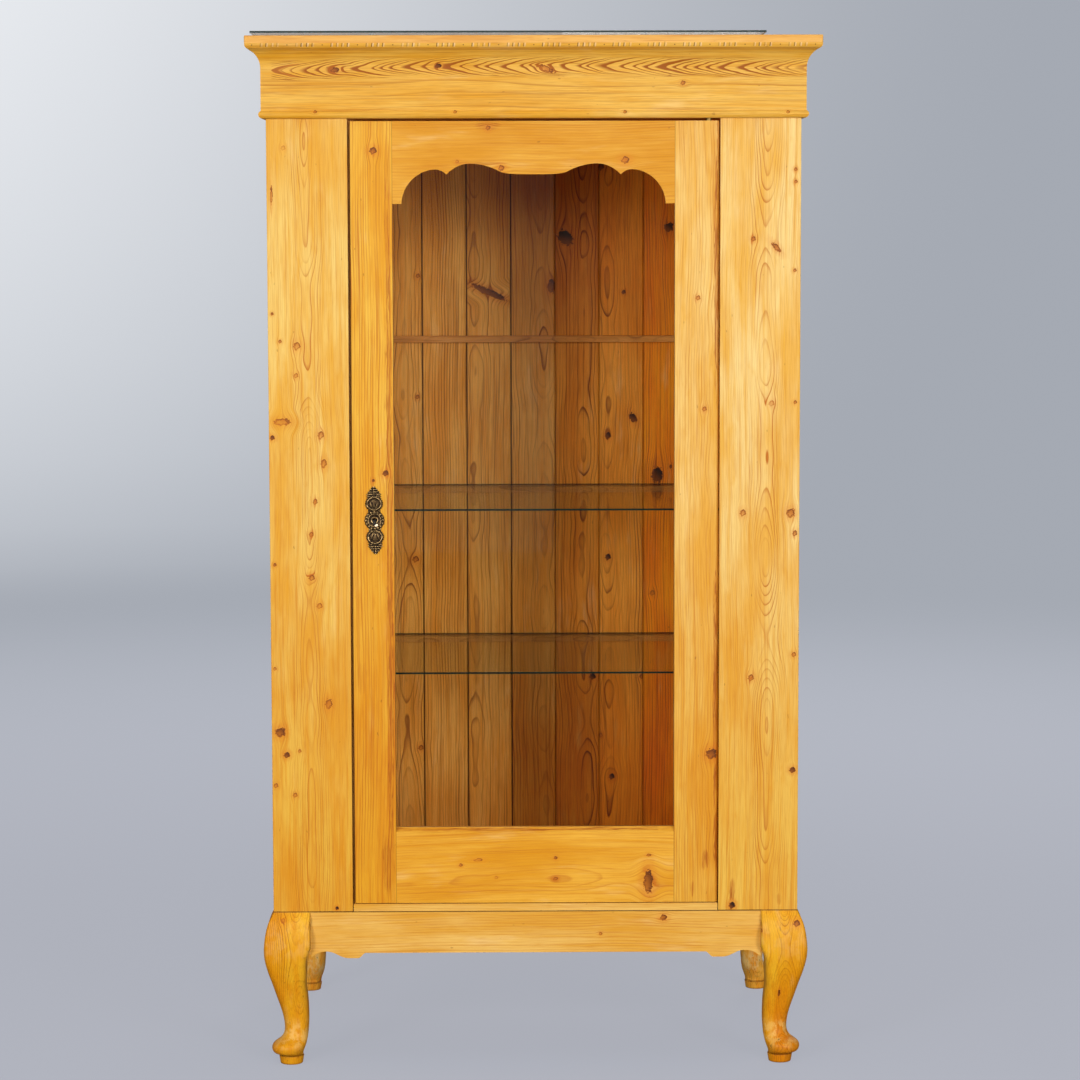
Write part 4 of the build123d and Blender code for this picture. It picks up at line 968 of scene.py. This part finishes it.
def old_brass():
    """Dark old brass, rubbed bright on what stands proud, with a painted highlight beside the keyhole slot.
    """
    s = new_material("keyhole_plate_brass")
    place = s.place()
    patch = s.noise(place, 420, 3, 0.6)
    ridge = s.named(s.node("Attribute", attribute_name="ridge")).fac
    # A painted highlight on the plate just beside the slot.
    near_key = s.vector("DISTANCE", place, (KEYHOLE[0] + 0.003, FRONT - 0.0015, KEYHOLE[1] - 0.0088))
    painted_glint_by_key = s.fall(near_key, 0.0018, 0.0034)
    rubbed = s.times(s.remap(ridge, 0.05, 0.6), s.remap(patch, 0.32, 0.56))
    colour = s.mix(s.remap(patch, 0.38, 0.62), (46, 32, 20), (88, 66, 38))
    colour = s.mix(s.times(rubbed, 0.85), colour, (192, 156, 102))
    colour = s.mix(s.remap(ridge, 0.06, -0.32, 0, 0.97), colour, (16, 9, 5))
    colour = s.mix(painted_glint_by_key, colour, (250, 214, 178))
    rough = s.remap(s.larger(rubbed, painted_glint_by_key), 0, 1, 0.5, 0.3)
    fine = relief(s, s.noise(place, 1500, 2), 0.0001)
    return finish_surface(s, solid(s, colour, rough, fine, metallic=0.85))


def make_keyhole_plate():
    """The cast plate, cut for the key and set on the door with its slight lean."""
    plate = add_piece("keyhole_plate", closed_plate("keyhole_plate"))
    tool = add_piece("keyhole_tool", keyhole_tool())
    cut = plate.modifiers.new("keyhole", "BOOLEAN")
    cut.operation = "DIFFERENCE"
    cut.solver = "EXACT"
    cut.object = tool
    finished = settle(plate)
    bpy.data.objects.remove(tool)
    lean = Matrix.Rotation(math.radians(-1.5), 4, "Y")
    place = Matrix.Translation((KEYHOLE[0], FRONT - 0.0001, KEYHOLE[1]))
    finished.transform(place @ lean @ Matrix.Scale(0.001, 4))
    brass = old_brass()
    finished.materials.clear()
    finished.materials.append(brass)
    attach(plate, "door")
    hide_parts("escutcheon", "escutcheon_pins")
    make_plate_beads(place @ lean, brass)


def dress_metal():
    """The pivots, the keeper and the lock."""
    brass = metal("plate_brass_finish", (150, 122, 70), (196, 168, 104))
    for node in ("upper_pivot_pin", "lower_pivot_pin", "upper_pivot_socket", "lower_pivot_socket",
                 "keeper_plate", "keeper_screws"):
        dress(node, brass)
    steel = metal("lock_steel_finish", (108, 104, 100), (132, 112, 92), rough=0.5)
    for node in ("lock_case", "lock_cover", "lock_screws", "lock_bolt"):
        dress(node, steel)


# ---- floor, lamps and camera
def make_floor():
    """A plain pale floor that rises far off into a bowl all round."""
    profile = [(3, 0), (6, 0), (8.5, 0), (9.5, 0.08), (10.5, 0.34), (11.4, 0.8), (12.2, 1.5),
               (12.8, 2.4), (13.2, 3.5), (13.4, 5), (13.5, 9)]
    steps = 96
    turns = [2 * math.pi * step / steps for step in range(steps)]
    mesh = bmesh.new()
    rings = [[mesh.verts.new((radius * math.cos(turn), radius * math.sin(turn), height))
              for turn in turns] for radius, height in profile]
    middle = mesh.verts.new((0, 0, 0))
    for step in range(steps):
        after = (step + 1) % steps
        mesh.faces.new((middle, rings[0][step], rings[0][after]))
        for inner, outer in zip(rings, rings[1:]):
            mesh.faces.new((inner[step], outer[step], outer[after], inner[after]))
    for face in mesh.faces:
        face.smooth = True
    floor = add_piece("studio_floor", kept_mesh(mesh, "studio_floor"))
    floor.data.materials.append(floor_glow_and_paint())


def floor_glow_and_paint():
    """Pale paint that partly glows, a painted light that keeps the shadows soft, with painted light high and
    low on the left and a darker tone far off.
    """
    s = new_material("studio_floor_paint")
    place = s.place()
    out = s.vector("LENGTH", s.vector("MULTIPLY", place, (1, 1, 0)))
    # Painted light: a bright pool high on the left and a weaker one low on the left.
    painted_light_high_left = s.fall(s.vector("DISTANCE", place, (-4.9, 12.2, 4.9)), 0, 8.4)
    painted_light_low_left = s.fall(s.vector("DISTANCE", place, (-4, 11, 0.8)), 0, 5)
    tone = s.mix(s.remap(out, 2, 7.5), (0.52, 0.54, 0.61, 1), (0.375, 0.4, 0.45, 1))
    tone = s.mix(s.times(painted_light_low_left, 0.4), tone, (0.6, 0.64, 0.7, 1))
    tone = s.mix(painted_light_high_left, tone, (0.95, 0.97, 1, 1))
    painted = s.named("BsdfDiffuse", color=(0.36, 0.375, 0.43, 1)).bsdf
    # Near the cabinet the floor partly glows, far off wholly: painted light that softens the shadows.
    both = s.blend(s.remap(out, 1, 6, 0.72, 1), painted, glow(s, tone))
    ray = s.named("LightPath")
    # Glossy rays see the floor nearly dark and diffuse rays dimmer: painted darkness in its reflections and
    # in the light it throws back.
    hidden = s.plus(s.times(ray.is_glossy_ray, 0.93), s.times(ray.is_diffuse_ray, 0.7))
    return finish_surface(s, s.blend(hidden, both, glow(s, (1, 1, 1, 1), 0)))


def make_painted_reflection_card():
    """A glowing grey card beside the camera that only the glass mirrors: a painted reflection on the left of
    the pane.
    """
    mesh = bpy.data.meshes.new("grey_card")
    mesh.from_pydata([(-2.6, -9, 0.01), (0.156, -9, 0.01), (0.156, -9, 4.2), (-2.6, -9, 4.2)],
                     [], [(0, 1, 2, 3)])
    card = add_piece("grey_card", mesh)
    s = new_material("grey_card_paint")
    # The card glows: it paints a grey reflection in the glass.
    mesh.materials.append(finish_surface(s, glow(s, (0.34, 0.35, 0.37, 1))))
    for sort in ("camera", "diffuse", "shadow", "transmission", "volume_scatter"):
        setattr(card, "visible_" + sort, False)


def lamp(name, place, aim, size, power):
    """A soft oblong lamp that the camera doesn't see."""
    data = bpy.data.lights.new(name, "AREA")
    data.shape = "RECTANGLE"
    data.size, data.size_y = size
    data.energy = power
    made = add_piece(name, data)
    made.location = place
    made.rotation_euler = (Vector(aim) - Vector(place)).to_track_quat("-Z", "Y").to_euler()
    made.visible_camera = False


def make_light():
    """A lamp on each side of the camera, one above it, one overhead and one behind the cabinet."""
    lamp("left_lamp", (-3, -5, 1.5), (0, -0.2, 0.9), (1.6, 2.6), 140)
    lamp("right_lamp", (2.8, -5, 1.4), (0, -0.2, 0.9), (1.6, 2.6), 128)
    lamp("front_lamp", (0.2, -6.4, 2.5), (0, -0.2, 0.8), (2.2, 1.2), 85)
    lamp("top_lamp", (-0.4, -1.4, 5.2), (0, 0, 1), (3, 3), 34)
    lamp("back_lamp", (1.5, 6.5, 3.6), (0, 0.3, 0.9), (3, 3), 110)
    world = bpy.data.worlds.new("studio_air")
    world.use_nodes = True
    air = world.node_tree.nodes["Background"]
    air.inputs[0].default_value = (0.95, 0.97, 1, 1)
    air.inputs[1].default_value = 0.22
    bpy.context.scene.world = world


def make_camera():
    """A long lens at standing height, 5.7 m in front of the door, looking slightly down."""
    pitch, yaw, roll = 0.0959, 0.0097, -0.0022
    stand = Vector((-0.0464, FRONT - 5.7145, 1.4815))
    turned = Matrix.Translation(stand)
    for angle, axis in ((-yaw, "Z"), (math.pi / 2 - pitch, "X"), (roll, "Z")):
        turned @= Matrix.Rotation(angle, 4, axis)
    data = bpy.data.cameras.new("camera")
    data.lens = 110
    data.sensor_width = 36
    data.clip_start, data.clip_end = 0.1, 100
    camera = add_piece("camera", data)
    camera.matrix_world = turned
    bpy.context.scene.camera = camera


make_camera()
make_light()
make_floor()
make_painted_reflection_card()
dress_front()
dress_cornice()
dress_sides()
dress_legs()
dress_inside()
dress_glass()
dress_metal()
make_keyhole_plate()
bpy.context.scene.view_settings.view_transform = "Standard"
